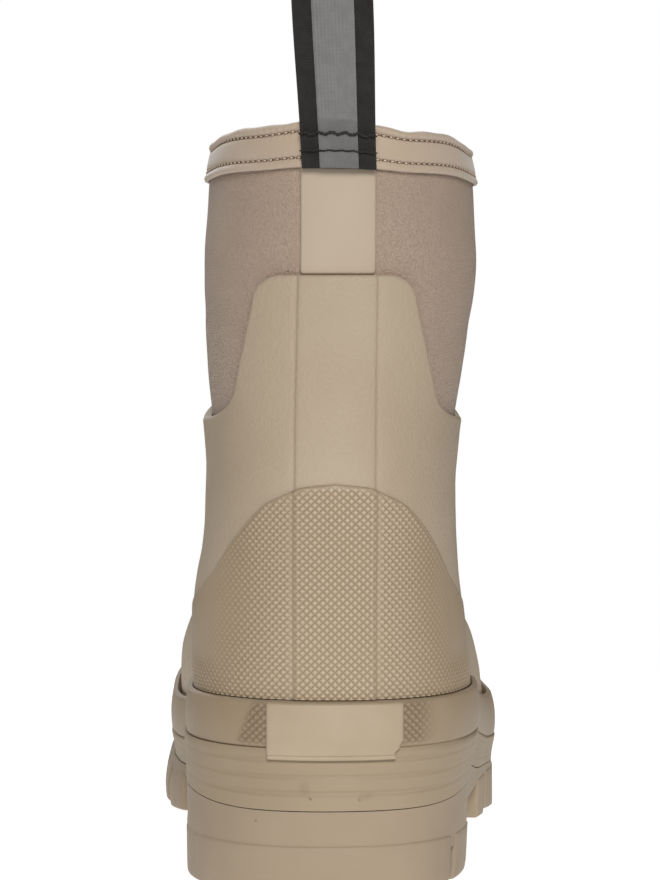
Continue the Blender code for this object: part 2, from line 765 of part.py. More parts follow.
def centre_on_origin(pieces):
    """Moves all meshes so that the origin is on the floor under the middle of the boot's box."""
    corners = [vert.co for piece in pieces for vert in piece.data.vertices]
    low = Vector([min(corner[i] for corner in corners) for i in range(3)])
    high = Vector([max(corner[i] for corner in corners) for i in range(3)])
    middle = (low + high) / 2
    shift = Matrix.Translation((-middle.x, -middle.y, 0.0))
    for thing in bpy.data.objects:
        thing.data.transform(shift)


def build():
    remove_startup_objects()
    rubber = material("upper rubber", (0.43, 0.36, 0.25), 0.62)
    tread = material("sole rubber", (0.40, 0.33, 0.23), 0.66)
    knurl = material("knurled rubber", (0.37, 0.29, 0.18), 0.7)
    neoprene = material("neoprene", (0.36, 0.28, 0.22), 0.9)
    tape = material("binding tape", (0.48, 0.38, 0.29), 0.45)
    webbing = material("black webbing", (0.03, 0.03, 0.03), 0.8)
    grey = material("reflective tape", (0.22, 0.22, 0.22), 0.4)
    foam = material("footbed foam", (0.10, 0.09, 0.08), 0.9)
    pieces = [
        outsole(tread),
        midsole(tread),
        rand(tread),
        upper(rubber),
        heel_patch(knurl),
        heel_plate(rubber),
        shaft(neoprene),
        back_stay(rubber),
        collar_binding(tape),
        pull_loop(webbing),
        reflective_strip(grey),
        insole(foam),
    ]
    centre_on_origin(pieces)


build()
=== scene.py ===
import math

import bmesh
import bpy
import numpy as np
from mathutils import Matrix, Vector, kdtree


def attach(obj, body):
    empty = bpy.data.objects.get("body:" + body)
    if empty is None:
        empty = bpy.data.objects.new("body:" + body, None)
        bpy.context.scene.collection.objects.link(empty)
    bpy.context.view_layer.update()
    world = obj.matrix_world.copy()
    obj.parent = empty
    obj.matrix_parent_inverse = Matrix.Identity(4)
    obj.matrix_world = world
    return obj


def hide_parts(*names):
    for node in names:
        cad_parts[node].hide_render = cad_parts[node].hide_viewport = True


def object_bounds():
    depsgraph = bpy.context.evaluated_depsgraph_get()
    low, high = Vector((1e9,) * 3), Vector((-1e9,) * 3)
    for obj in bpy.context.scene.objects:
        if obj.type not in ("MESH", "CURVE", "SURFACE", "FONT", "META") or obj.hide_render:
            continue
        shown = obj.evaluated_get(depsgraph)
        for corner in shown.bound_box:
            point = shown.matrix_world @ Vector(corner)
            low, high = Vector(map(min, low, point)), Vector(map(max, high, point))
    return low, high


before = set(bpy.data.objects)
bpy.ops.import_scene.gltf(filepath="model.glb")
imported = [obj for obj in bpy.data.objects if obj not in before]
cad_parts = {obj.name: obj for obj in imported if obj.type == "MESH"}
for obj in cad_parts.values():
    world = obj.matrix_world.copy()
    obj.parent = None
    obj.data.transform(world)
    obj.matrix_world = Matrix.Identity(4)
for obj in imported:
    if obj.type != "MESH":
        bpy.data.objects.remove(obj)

cad_box = [list(corner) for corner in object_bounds()]

# The bootie: one tube of neoprene with a fine knit on both faces, from the sole's floor up to the rim.
# Every other piece is wrapped on its outer face, so the sizes of the last are kept here. A place on it is a
# turn (0 back, 0.25 outer side, 0.5 toe) and a level (0 floor, 1 sole's edge, 2 rand's top, 3 instep, 4 rim).
LENGTH, BALL_WIDTH, HEEL_WIDTH = 0.299, 0.118, 0.0915
ANKLE_WIDTH, SHAFT_WIDTH = 0.075, 0.0888
COLLAR_HEIGHT, INSTEP_HEIGHT = 0.2372, 0.112
TOE_SPRING, BALL_SWING = 0.012, 0.0075
LEG_LEAN, LEG_TURN, LEG_AXIS = 0.0052, math.radians(-3.2), -0.224 * LENGTH
TAB_TOP, RIM_DIP, RIM_TILT = 0.190, 0.0052, 0.02
SEAM, FLOOR, EDGE = (0.026, 0.017), (0.033, 0.020), (0.0451, 0.026)
GAP, NEOPRENE, TAPE, RUBBER, CUP_WALL, RAND_HEIGHT = 0.0003, 0.004, 0.0012, 0.0022, 0.003, 0.0145
UPPER_OUT = GAP + RUBBER
SIDE_STACK = UPPER_OUT + GAP + CUP_WALL
RIM_HEIGHT = COLLAR_HEIGHT - TAPE - GAP
# The heights of the levels 0 to 4 at the heel, and the power of the curves at the section's ends
HEEL_KNOTS = (FLOOR[0] + GAP, EDGE[0], EDGE[0] + RAND_HEIGHT, INSTEP_HEIGHT, RIM_HEIGHT)
ROUNDNESS = 2.2
# Along the foot: share of the length, way from heel to ball width, swing to the outer side
OUTLINE = (
    (0.00, 0.00, 0.00), (0.10, 0.00, 0.00), (0.20, 0.09, 0.20), (0.33, 0.12, 0.35), (0.44, 0.24, 0.70),
    (0.55, 0.53, 1.00), (0.63, 0.90, 1.00), (0.70, 1.00, 0.95), (0.78, 0.92, 0.85), (0.88, 0.72, 0.35),
    (1.00, 0.40, -0.30),
)
# Along the foot: share of the length, share of the heel's extra height, share of the toe spring
HEIGHTS = (
    (0.00, 1.00, 0.00), (0.24, 1.00, 0.00), (0.42, 0.52, 0.00), (0.60, 0.04, 0.00),
    (0.70, 0.00, 0.00), (0.80, 0.00, 0.16), (0.90, 0.00, 0.52), (1.00, 0.00, 1.00),
)
# Up the boot: level, back inset, front inset, foot's width, shaft's width, round back, round front
SECTIONS = (
    (0.00, 0.005, 0.006, 1.00, 0.00, 0.150, 0.207), (1.00, 0.000, 0.001, 1.00, 0.00, 0.150, 0.207),
    (1.60, 0.000, 0.000, 0.98, 0.00, 0.151, 0.208), (2.00, 0.001, 0.006, 0.94, 0.00, 0.153, 0.213),
    (2.10, 0.002, 0.017, 0.90, 0.00, 0.153, 0.224), (2.20, 0.004, 0.039, 0.83, 0.00, 0.154, 0.248),
    (2.30, 0.006, 0.080, 0.74, 0.00, 0.156, 0.283), (2.50, 0.012, 0.200, 0.51, 0.00, 0.160, 0.322),
    (2.75, 0.021, 0.326, 0.20, 0.00, 0.170, 0.305), (3.00, 0.029, 0.393, 0.03, 0.02, 0.183, 0.272),
    (3.20, 0.041, 0.457, 0.00, 0.16, 0.198, 0.233), (3.40, 0.047, 0.484, 0.00, 0.62, 0.210, 0.212),
    (3.62, 0.047, 0.491, 0.00, 0.96, 0.213, 0.212), (3.88, 0.043, 0.491, 0.00, 0.82, 0.213, 0.213),
    (4.00, 0.042, 0.488, 0.00, 0.50, 0.213, 0.213),
)
# Share of the height above the sole's edge, share of the leg's lean and turn
LEAN = ((0.00, 0.00), (0.21, 0.12), (0.35, 0.33), (0.55, 0.52), (0.82, 0.97), (1.00, 1.00))
# Across the back of the rim: x, how far the soft collar sags there
RIM_WAVE = ((-0.045, 0.0000), (-0.036, 0.0011), (-0.024, 0.0008), (-0.012, -0.0006), (0.000, -0.0007),
            (0.012, 0.0002), (0.022, 0.0016), (0.036, 0.0008), (0.045, 0.0000))
# How far behind the leg's axis that sag begins and is full
WAVE_REACH = (-0.03, -0.07)
# Along the foot: share of the length, share of the rim's dip at the sides
RIM_LINE = ((0.04, 0.00), (0.13, 0.35), (0.21, 0.90), (0.28, 1.00), (0.36, 0.75), (0.45, 0.50))


def curve(table, key, column):
    """Reads a column of a table between its rows, on a smooth curve that stays between them."""
    keys, values = (np.array([row[i] for row in table]) for i in (0, column))
    slope = np.diff(values) / np.diff(keys)
    before, after = slope[:-1], slope[1:]
    same = before * after > 0
    inner = np.where(same, 2 * before * after / np.where(same, before + after, 1.0), 0.0)
    tangent = np.concatenate([slope[:1], inner, slope[-1:]])
    key = np.clip(key, keys[0], keys[-1])
    row = np.clip(np.searchsorted(keys, key, side="right") - 1, 0, len(keys) - 2)
    span = keys[row + 1] - keys[row]
    s = (key - keys[row]) / span
    return (values[row] * (1 + 2 * s) * (1 - s) ** 2 + values[row + 1] * s * s * (3 - 2 * s)
            + span * s * (1 - s) * (tangent[row] * (1 - s) - tangent[row + 1] * s))


def smoothstep(low, high, value):
    share = np.clip((value - low) / (high - low), 0, 1)
    return share * share * (3 - 2 * share)


def line_height(y, heel_and_ball):
    """The height of a line that runs along the sole's side."""
    heel, ball = heel_and_ball
    share = y / LENGTH + 0.5
    return ball + (heel - ball) * curve(HEIGHTS, share, 1) + TOE_SPRING * curve(HEIGHTS, share, 2)


def level_height(level, y):
    edge = line_height(y, EDGE)
    knots = np.stack([line_height(y, FLOOR) + GAP, edge, edge + RAND_HEIGHT,
                      np.full_like(edge, INSTEP_HEIGHT), np.full_like(edge, RIM_HEIGHT)])
    step = np.clip(level.astype(int), 0, 3)
    low, high = (np.take_along_axis(knots, (step + i)[None], 0)[0] for i in (0, 1))
    return low + (high - low) * (level - step)


def level_at(z):
    """The level of a height at the heel."""
    over = np.maximum(0, np.asarray(z) - RIM_HEIGHT) / (RIM_HEIGHT - INSTEP_HEIGHT)
    return np.interp(z, HEEL_KNOTS, range(5)) + over


def heel_height(level):
    """The height of a level at the heel."""
    return np.interp(level, range(5), HEEL_KNOTS)


# The sections again by height, so that the walls stay smooth where the levels' spacing changes
BY_HEIGHT = tuple((float(heel_height(row[0])),) + row[1:] for row in SECTIONS)


def section(level):
    height = heel_height(level)
    back = SIDE_STACK - LENGTH / 2 + LENGTH * curve(BY_HEIGHT, height, 1)
    front = LENGTH / 2 - SIDE_STACK - LENGTH * curve(BY_HEIGHT, height, 2)
    round_back, round_front = (LENGTH * curve(BY_HEIGHT, height, i) for i in (5, 6))
    fit = np.minimum(1.0, (front - back) / (round_back + round_front))
    return back, front, round_back * fit, round_front * fit


def half_width(level, y):
    heel, ball = HEEL_WIDTH / 2 - SIDE_STACK, BALL_WIDTH / 2 - SIDE_STACK
    foot = heel + (ball - heel) * curve(OUTLINE, y / LENGTH + 0.5, 1)
    ankle, shaft = ANKLE_WIDTH / 2, SHAFT_WIDTH / 2
    foot_share, shaft_share = (curve(BY_HEIGHT, heel_height(level), i) for i in (3, 4))
    return ankle + (foot - ankle) * foot_share + (shaft - ankle) * shaft_share


def round_end(inset):
    return (1 - np.clip(inset, 0, 1) ** ROUNDNESS) ** (1 / ROUNDNESS)


def on_last(turn, level):
    """Points of the last, before the leg leans."""
    turn, level = np.broadcast_arrays(np.asarray(turn, float), np.asarray(level, float))
    back, front, round_back, round_front = section(level)
    y = back + (front - back) * (1 - np.cos(2 * np.pi * turn)) / 2
    width = half_width(level, y) * round_end((back + round_back - y) / round_back)
    width = width * round_end((y - front + round_front) / round_front)
    side = np.where(turn % 1.0 < 0.5, 1.0, -1.0)
    centre = BALL_SWING * curve(OUTLINE, y / LENGTH + 0.5, 2) * curve(BY_HEIGHT, heel_height(level), 3)
    return np.stack([centre + side * width, y, level_height(level, y)], axis=-1)


def unit(vectors):
    return vectors / np.maximum(np.linalg.norm(vectors, axis=-1, keepdims=True), 1e-12)


def facing(turn, level):
    """The last's outward normals, level at the rim and inside the sole's cup."""
    step = 0.002
    normal = unit(np.cross(on_last(turn + step, level) - on_last(turn - step, level),
                           on_last(turn, level + step) - on_last(turn, level - step)))
    normal[..., 2] *= (level > 1) & (level < 4)
    return unit(normal)


def lean(points):
    """Leans and turns the leg, more the higher it is, and lets the rim dip at its sides."""
    x, y, z = points[..., 0], points[..., 1] - LEG_AXIS, points[..., 2]
    share = curve(LEAN, (z - EDGE[0]) / (COLLAR_HEIGHT - EDGE[0]), 1)
    angle = LEG_TURN * share
    near_rim = np.clip((z - TAB_TOP) / (COLLAR_HEIGHT - TAB_TOP), 0, 1)
    dip = RIM_DIP * curve(RIM_LINE, points[..., 1] / LENGTH + 0.5, 1) + RIM_TILT * x
    dip = dip + curve(RIM_WAVE, x, 1) * smoothstep(*WAVE_REACH, y)
    return np.stack([x * np.cos(angle) - y * np.sin(angle) + LEG_LEAN * share,
                     x * np.sin(angle) + y * np.cos(angle) + LEG_AXIS, z - near_rim ** 2 * dip], axis=-1)


# The insole's hindmost corner lies on the last's back line, so it says where the frame has the last
insole_points = np.array([vert.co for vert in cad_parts["insole"].data.vertices])
heel_point = insole_points[insole_points[:, 1].argmin()]
last_heel = on_last(0.0, 0.0)
SHIFT = np.array([heel_point[0], heel_point[1] - (last_heel[1] + NEOPRENE + GAP), 0.0])


def wrap(turn, level, out):
    """Points out from the last, in the frame."""
    turn, level = np.broadcast_arrays(np.asarray(turn, float), np.asarray(level, float))
    return lean(on_last(turn, level) + facing(turn, level) * np.asarray(out)[..., None]) + SHIFT


# The lines up the boot stand straight within this reach of the back line, and so do this share of them.
# Nothing at the back reaches further round than the last share of the half width.
BACK_REACH, BACK_SHARE, WIDEST = 0.026, 0.11, 0.985


def turn_at(x, level):
    """The turn, on the back half, where the last is x to the outer side of the back line."""
    back, front, round_back, _ = section(level)
    share = np.minimum(np.abs(x) / half_width(level, back), WIDEST)
    y = back + round_back * (1 - (1 - share ** ROUNDNESS) ** (1 / ROUNDNESS))
    return np.copysign(np.arccos(1 - 2 * (y - back) / (front - back)) / (2 * np.pi), x)


def line_turn(line, level):
    """The turn of one of the lines up the boot, from -0.5 to 0.5. Up to BACK_SHARE they stand straight."""
    start = turn_at(BACK_REACH, level)
    far = start + (0.5 - start) * (np.abs(line) - BACK_SHARE) / (0.5 - BACK_SHARE)
    near = turn_at(line / BACK_SHARE * BACK_REACH, level)
    return np.where(np.abs(line) <= BACK_SHARE, near, np.copysign(far, line))


def lines(back, rest):
    """Evenly spaced lines up the boot, closer at the back."""
    far = np.linspace(BACK_SHARE, 0.5, rest + 1)
    return np.concatenate([-far[::-1], np.linspace(-BACK_SHARE, BACK_SHARE, back + 1)[1:-1], far])


def new_grid(columns, rows):
    """A grid of cells, with the column and row of each of its corners."""
    built = bmesh.new()
    bmesh.ops.create_grid(built, x_segments=columns, y_segments=rows, size=0.5)
    spots = np.array([vert.co for vert in built.verts])[:, :2] + 0.5
    i, j = np.rint(spots * (columns, rows)).astype(int).T
    return built, i, j


def fold_cells(built, i, j):
    """Splits each cell in two along the diagonal that a diamond's groove or ridge follows."""
    fold = np.array([0, 1, 0, -1])
    for vert, a, b, lift in zip(built.verts, i, j, fold[(i + j) % 4] + fold[(i - j) % 4]):
        vert.co = (a, b, lift)
    bmesh.ops.triangulate(built, faces=built.faces, quad_method="SHORT_EDGE")


def make_piece(name, built, finish, smooth_edge=40):
    bmesh.ops.recalc_face_normals(built, faces=built.faces)
    mesh = bpy.data.meshes.new(name)
    built.to_mesh(mesh)
    built.free()
    mesh.shade_smooth()
    mesh.set_sharp_from_angle(angle=math.radians(smooth_edge))
    piece = bpy.data.objects.new(name, mesh)
    bpy.context.collection.objects.link(piece)
    mesh.materials.append(finish)
    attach(piece, "root")
    return piece


def skin(name, across, up, place, finish, smooth_edge=40, faceted=False, painted_shade_tone=None):
    """A piece from a grid, whose lines run at these values across and up, put in place by a function of both.

    Where it is faceted, its cells fold along the grooves and ridges of diamonds four lines wide."""
    built, i, j = new_grid(len(across) - 1, len(up) - 1)
    column, row = np.asarray(across, float)[i], np.asarray(up, float)[j]
    # The shade tone paints shade into a finish's groove colour: 0 is full painted shade, 1 is none.
    points, heights = place(column, row), painted_shade_tone(column, row) if painted_shade_tone else np.ones(len(i))
    pattern, depth = built.loops.layers.uv.new("weave"), built.verts.layers.float.new("painted_shade_tone")
    for vert in built.verts:
        for loop in vert.link_loops:
            loop[pattern].uv = vert.co[:2]
    if faceted:
        fold_cells(built, column.astype(int), row.astype(int))
    for vert, point, height in zip(built.verts, points, heights):
        vert.co, vert[depth] = point, height
    bmesh.ops.remove_doubles(built, verts=built.verts, dist=2e-6)
    return make_piece(name, built, finish, smooth_edge)


def seen(red, green, blue):
    """A base colour from the values that a screen shows."""
    return tuple((value / 255 / 12.92) if value < 11 else ((value / 255 + 0.055) / 1.055) ** 2.4
                 for value in (red, green, blue)) + (1.0,)


# How far the roughness of each finish strays, patch by patch
GLOSS_SPREAD = 0.07


def finish_of(name, light, dark, roughness, grains, specular=0.35, blotch=22.0, coat=0.0, sheen=0.0,
              groove=None):
    """A finish with two tones in soft blotches, and one bump over another: grains a metre, depth in metres.

    A groove colour paints shade: it shows where the piece's own painted-shade attribute is 0, and not at all
    where it is 1."""
    made = bpy.data.materials.new(name)
    made.use_nodes = True
    nodes, links = made.node_tree.nodes, made.node_tree.links
    shader = nodes["Principled BSDF"]
    for socket, value in (("Specular IOR Level", specular), ("Coat Weight", coat), ("Sheen Weight", sheen)):
        shader.inputs[socket].default_value = value
    place = nodes.new("ShaderNodeTexCoord").outputs["Object"]

    def noise(scale, detail=2.0):
        node = nodes.new("ShaderNodeTexNoise")
        node.inputs["Scale"].default_value = scale
        node.inputs["Detail"].default_value = detail
        links.new(place, node.inputs["Vector"])
        return node.outputs["Fac"]

    tones = nodes.new("ShaderNodeValToRGB")
    tones.color_ramp.elements[0].position, tones.color_ramp.elements[1].position = 0.3, 0.7
    tones.color_ramp.elements[0].color, tones.color_ramp.elements[1].color = dark, light
    links.new(noise(blotch, 4.0), tones.inputs["Fac"])
    links.new(tones.outputs["Color"], shader.inputs["Base Color"])
    # Painted shade: the groove colour is mixed in where the piece's shade tone falls below 1.
    if groove:
        painted_shade_tone, mixed = nodes.new("ShaderNodeAttribute"), nodes.new("ShaderNodeMix")
        painted_shade_tone.attribute_name, mixed.data_type = "painted_shade_tone", "RGBA"
        links.new(painted_shade_tone.outputs["Fac"], mixed.inputs["Factor"])
        mixed.inputs["A"].default_value = groove
        links.new(tones.outputs["Color"], mixed.inputs["B"])
        links.new(mixed.outputs["Result"], shader.inputs["Base Color"])
    gloss = nodes.new("ShaderNodeMapRange")
    gloss.inputs["To Min"].default_value = roughness - GLOSS_SPREAD
    gloss.inputs["To Max"].default_value = roughness + GLOSS_SPREAD
    links.new(noise(blotch * 6), gloss.inputs["Value"])
    links.new(gloss.outputs["Result"], shader.inputs["Roughness"])
    under = None
    for scale, depth in grains:
        bump = nodes.new("ShaderNodeBump")
        bump.inputs["Distance"].default_value = depth
        links.new(noise(scale, 3.0), bump.inputs["Height"])
        if under:
            links.new(under, bump.inputs["Normal"])
        under = bump.outputs["Normal"]
    links.new(under, shader.inputs["Normal"])
    return made


# Soft creases where the leg bends: turn, height, reach round, half width, depth, rise per turn
CREASES = (
    (-0.16, 0.176, 0.09, 0.0050, -0.0006, -0.05), (0.17, 0.171, 0.09, 0.0055, -0.0007, 0.06),
    (-0.20, 0.200, 0.10, 0.0090, 0.0005, 0.03), (0.20, 0.196, 0.11, 0.0080, 0.0005, -0.04),
    (0.47, 0.166, 0.12, 0.0050, -0.0012, 0.02), (0.50, 0.178, 0.14, 0.0060, 0.0010, 0.00),
    (-0.12, 0.214, 0.07, 0.0060, -0.0003, 0.02), (0.10, 0.212, 0.06, 0.0060, -0.0003, -0.03),
)


def creases(turn, z, table):
    """How far soft folds stand out (or in, below 0) at each place."""
    total = np.zeros(np.broadcast(turn, z).shape)
    for where, height, reach, width, depth, rise in table:
        off = (turn - where + 0.5) % 1.0 - 0.5
        total = total + depth * np.exp(-(off / reach) ** 2 - ((z - height - rise * off) / width) ** 2)
    return total


# The creases die out between these depths below the rim
CALM_RIM = (0.006, 0.016)
bootie_levels = np.concatenate([np.linspace(0, 2.6, 22), np.linspace(2.68, 4, 74), [4.0],
                                np.linspace(4, 0.0, 60)])
bootie_outs = np.concatenate([np.zeros(96), [-NEOPRENE / 2], np.full(60, -NEOPRENE)])


def bootie_place(line, row):
    row = row.astype(int) % len(bootie_levels)
    level = bootie_levels[row]
    turn = line_turn(line, level)
    z = heel_height(level)
    calm = smoothstep(*CALM_RIM, RIM_HEIGHT - z)
    return wrap(turn, level, bootie_outs[row] + creases(turn, z, CREASES) * calm)


neoprene = finish_of("neoprene", seen(192, 168, 147), seen(174, 150, 130), 0.46,
                     ((1300, 0.0005), (2600, 0.0004)), specular=0.5, blotch=1500.0, sheen=0.1)
bootie = skin("bootie", lines(56, 110), range(len(bootie_levels) + 1), bootie_place, neoprene)
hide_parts("shaft")

# The back stay: a strip of smooth rubber, 1 mm thick, cemented up the back of the neoprene.
# It runs from the tab of the upper to the collar's tape, and its foot has small round corners.
STAY_HALF, STAY, STAY_EDGE, STAY_CORNER, STAY_REST = 0.0116, 0.0010, 0.0008, 0.0014, 0.0001
BINDING_FOOT = COLLAR_HEIGHT - 0.0142


def dense(count):
    """Values from -1 to 1 that crowd at both ends."""
    return np.sin(np.linspace(-np.pi / 2, np.pi / 2, count + 1))


def rounded(distance, edge):
    """The share of a full thickness at a distance in from an edge rounded over a quarter circle."""
    inset = 1 - np.clip(distance / edge, 0, 1)
    return np.sqrt(1 - inset ** 2)


def pad(name, foot, head, sides, rest, thickness, edge, finish, across=30, up=60):
    """A closed pad on the back, flat underneath and rounded over its edge. sides(z) gives its two sides."""
    faces = np.concatenate([dense(up) / 2 + 0.5, 1.5 + dense(up)[1:] / 2])

    def place(a, b):
        share = np.where(b <= 1, b, 2 - b)
        z = foot + (head - foot) * share
        left, right = sides(z)
        x = (left + right) / 2 + a * (right - left) / 2
        distance = np.minimum(np.minimum(x - left, right - x), np.minimum(z - foot, head - z))
        level = level_at(z)
        out = rest + np.where(b <= 1, thickness * rounded(distance, edge), 0.0)
        return wrap(turn_at(x, level), level, out)

    return skin(name, dense(across), faces, place, finish)


def round_corners(half, radius, foot, head):
    """The half width of a pad with round corners."""
    def at(z):
        near = np.clip(radius - np.minimum(z - foot, head - z), 0, radius)
        return half - radius + np.sqrt(np.maximum(radius ** 2 - near ** 2, 0))
    return at


stay_foot, stay_head = TAB_TOP + 0.0001, BINDING_FOOT + 0.0003
stay_half = round_corners(STAY_HALF, STAY_CORNER, stay_foot, stay_head + 0.003)
smooth_rubber = finish_of("smooth rubber", seen(187, 170, 149), seen(181, 163, 142), 0.5,
                          ((300, 0.00006), (2400, 0.00002)), specular=0.4, coat=0.06)
stay = pad("stay_strip", stay_foot, stay_head, lambda z: (-stay_half(z), stay_half(z)), STAY_REST, STAY,
           STAY_EDGE, smooth_rubber)
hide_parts("back_stay")

# The collar's binding: satin stretch tape folded over the rim and sewn down in two rows of stitches.
# The tape puffs up between the stitches, rolls over at the rim, and ends below in a thin folded lip.
STITCH_PITCH, STITCH_STEPS, TAPE_LEVEL = 0.00235, 6, 3.95
ROWS = (COLLAR_HEIGHT - 0.0033, COLLAR_HEIGHT - 0.0112)
# Small waves of the tape's rolled edge: height, waves round the boot, start
TAPE_WAVES = ((0.00022, 9, 1.0), (0.00016, 23, 0.0))
# The tape's section: down from the rim, out from the neoprene, puff between the stitches, in millimetres
TAPE_SECTION = (
    (14.20, 0.35, 0.00), (14.25, 0.90, 0.00), (14.00, 1.50, 0.00), (13.40, 1.82, 0.00), (12.60, 1.68, 0.04),
    (11.90, 1.36, 0.08), (11.50, 1.05, 0.05), (11.20, 0.72, -0.10), (10.90, 1.05, 0.05), (10.40, 1.36, 0.08),
    (9.50, 1.56, 0.03), (8.40, 1.62, 0.00), (7.20, 1.62, 0.00), (6.00, 1.62, 0.00), (5.00, 1.60, 0.03),
    (4.20, 1.46, 0.10), (3.70, 1.12, 0.06), (3.30, 0.72, -0.10), (2.90, 1.20, 0.08), (2.40, 1.76, 0.12),
    (1.80, 2.10, 0.10), (1.20, 2.06, 0.06), (0.65, 1.75, 0.03), (0.25, 1.10, 0.00), (0.00, 0.10, 0.00),
    (0.00, -2.00, 0.00), (0.10, -4.20, 0.04), (0.50, -5.20, 0.12), (1.20, -5.70, 0.20), (2.20, -5.60, 0.16),
    (3.00, -5.10, 0.00), (3.30, -4.85, -0.10), (3.60, -5.10, 0.00), (5.00, -5.60, 0.10), (8.00, -5.65, 0.02),
    (10.60, -5.40, 0.12), (11.20, -4.90, -0.10), (11.80, -5.30, 0.12), (13.40, -5.60, 0.08),
    (14.10, -5.20, 0.00), (14.20, -4.30, 0.00), (8.00, -4.20, 0.00), (1.60, -4.20, 0.00), (1.52, -2.00, 0.00),
    (1.60, 0.20, 0.00), (8.00, 0.20, 0.00),
)


def even_turns(level, pitch, multiple=1):
    """Turns right round the boot at an even pitch along a level, starting at the back."""
    fine = np.linspace(0, 1, 4001)
    steps = np.linalg.norm(np.diff(on_last(fine, level), axis=0), axis=1)
    reached = np.concatenate([[0], np.cumsum(steps)])
    count = int(round(reached[-1] / pitch)) * multiple
    return np.interp(np.linspace(0, reached[-1], count + 1), reached, fine)


tape_turns = even_turns(TAPE_LEVEL, STITCH_PITCH, STITCH_STEPS)
tape_table = np.array(TAPE_SECTION + TAPE_SECTION[:1]) / 1000


def tape_place(column, row):
    down, out, puff = tape_table[row.astype(int)].T
    column = column.astype(int)
    turn = tape_turns[column]
    gathers = np.cos(2 * np.pi * column / STITCH_STEPS)
    uneven = sum(high * np.sin(turn * 2 * np.pi * count + start) for high, count, start in TAPE_WAVES)
    rolled = smoothstep(0.004, 0.0, down)
    return wrap(turn, level_at(COLLAR_HEIGHT - down + uneven * rolled), out + puff * gathers)


satin = finish_of("satin tape", seen(193, 173, 151), seen(185, 165, 143), 0.42,
                  ((900, 0.00004), (3200, 0.00002)), specular=0.45, blotch=60.0, sheen=0.3)
binding = skin("collar_tape", range(len(tape_turns)), range(len(tape_table)), tape_place, satin, 70)
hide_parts("collar_binding")

# The binding's stitches: two rows of brown thread right round the collar. Each stitch is a dark bar of thread
# with painted groove shade, longer than the pitch so the bars run together, under a short pale bar that
# paints the highlight on the thread's raised middle.
# The needle pulls each end down into the tape, so only the middle of a stitch stands up.
THREAD, STITCH_LENGTH, STITCH_RISE = 0.00030, 0.0012, 0.00032
# How far out the stitches lie on the outer and the inner face of the collar, and which way they face
FACES = ((0.00105, 1.0), (-0.00505, -1.0))


def stitch_row(built, points, normals, along, length, thickness):
    """Adds a flattened capsule of thread at each point."""
    for point, normal, ahead in zip(points, normals, along):
        made = bmesh.ops.create_icosphere(built, subdivisions=1, radius=1.0)
        side = np.cross(normal, ahead)
        turned = Matrix(np.array([ahead * length / 2, side * thickness, normal * thickness * 0.8]).T.tolist())
        bmesh.ops.transform(built, matrix=turned.to_4x4(), verts=made["verts"])
        bmesh.ops.translate(built, vec=Vector(point), verts=made["verts"])


def thread_of(name, light, dark, roughness):
    return finish_of(name, light, dark, roughness, ((2600, 0.00008),), blotch=420.0)


# The pale finish paints the highlight on each stitch; the brown one is the thread's own colour with painted
# shade of its groove.
thread = thread_of("thread with painted highlight", seen(218, 200, 178), seen(196, 176, 152), 0.6)
thread_and_groove_shade = thread_of("brown thread with painted groove shade", seen(120, 96, 76), seen(92, 70, 54), 0.8)
threads, groove_shade_threads = bmesh.new(), bmesh.new()
turns = even_turns(TAPE_LEVEL, STITCH_PITCH)[:-1]
for height in ROWS:
    levels = np.full(turns.shape, float(level_at(height)))
    for out, sense in FACES:
        at = wrap(turns, levels, np.full(turns.shape, out))
        ahead = unit(np.roll(at, -1, 0) - np.roll(at, 1, 0))
        outward = unit(wrap(turns, levels, np.full(turns.shape, out + 0.001)) - at) * sense
        stitch_row(groove_shade_threads, at, outward, ahead, STITCH_PITCH * 1.08, THREAD * 1.5)
        stitch_row(threads, at + outward * STITCH_RISE, outward, ahead, STITCH_LENGTH, THREAD)
for name, made, dyed in (("collar_stitches", threads, thread),
                         ("collar_stitch_groove_shade", groove_shade_threads, thread_and_groove_shade)):
    make_piece(name, made, dyed)

# The pull loop: one length of black 25 mm webbing, sewn to both faces of the collar at the back.
# It bows out above the rim, so that a finger goes through it, and its ribs run along it.
LOOP, LOOP_TOP, LOOP_BULGE, LOOP_SLACK, FOOT_DROP = 0.0015, 0.290, 0.006, 0.0004, 0.0005
LOOP_FOOT_WIDTH, LOOP_HEAD_WIDTH, LOOP_SLANT, LOOP_ASIDE = 0.0231, 0.0252, -0.0028, 0.0004
# Rows of the loop's middle line: on the collar, up a leg to its shoulder, over the top
FOOT_ROWS, LEG_ROWS, TOP_ROWS = 17, 30, 24
# Share of the way up from the rim to the loop's shoulder, share of its bulge
LOOP_LEG = ((0.0, 0.0), (0.3, 0.16), (0.65, 0.7), (1.0, 1.0))
loop_level = float(level_at(BINDING_FOOT))
loop_back = float(on_last(0.0, loop_level)[1])


def loop_path():
    """The loop's middle line as (y, z), from its outer foot over the top to its inner foot."""
    off_neoprene = GAP + TAPE + GAP + LOOP / 2 + LOOP_SLACK
    outer, inner = loop_back - off_neoprene, loop_back + NEOPRENE + off_neoprene
    outer_top, inner_top = outer - LOOP_BULGE * 0.6, inner + LOOP_BULGE * 0.4
    radius = (inner_top - outer_top) / 2
    shoulder = LOOP_TOP - LOOP / 2 - radius
    leg = np.linspace(0, 1, LEG_ROWS)
    bulge = curve(LOOP_LEG, leg, 1)
    rise = COLLAR_HEIGHT + (shoulder - COLLAR_HEIGHT) * leg
    low = np.linspace(BINDING_FOOT - FOOT_DROP, COLLAR_HEIGHT, FOOT_ROWS + 1)[:-1]
    arc = np.linspace(0, np.pi, TOP_ROWS + 2)[1:-1]
    y = np.concatenate([np.full(FOOT_ROWS, outer), outer + (outer_top - outer) * bulge,
                        outer_top + radius * (1 - np.cos(arc)),
                        (inner + (inner_top - inner) * bulge)[::-1], np.full(FOOT_ROWS, inner)])
    z = np.concatenate([low, rise, shoulder + radius * np.sin(arc), rise[::-1], low[::-1]])
    return np.stack([y, z], axis=-1)


loop_line = loop_path()
# The webbing is bowed across as the collar is, and loses this share of the bow by its top
BOW_LOST = 0.75


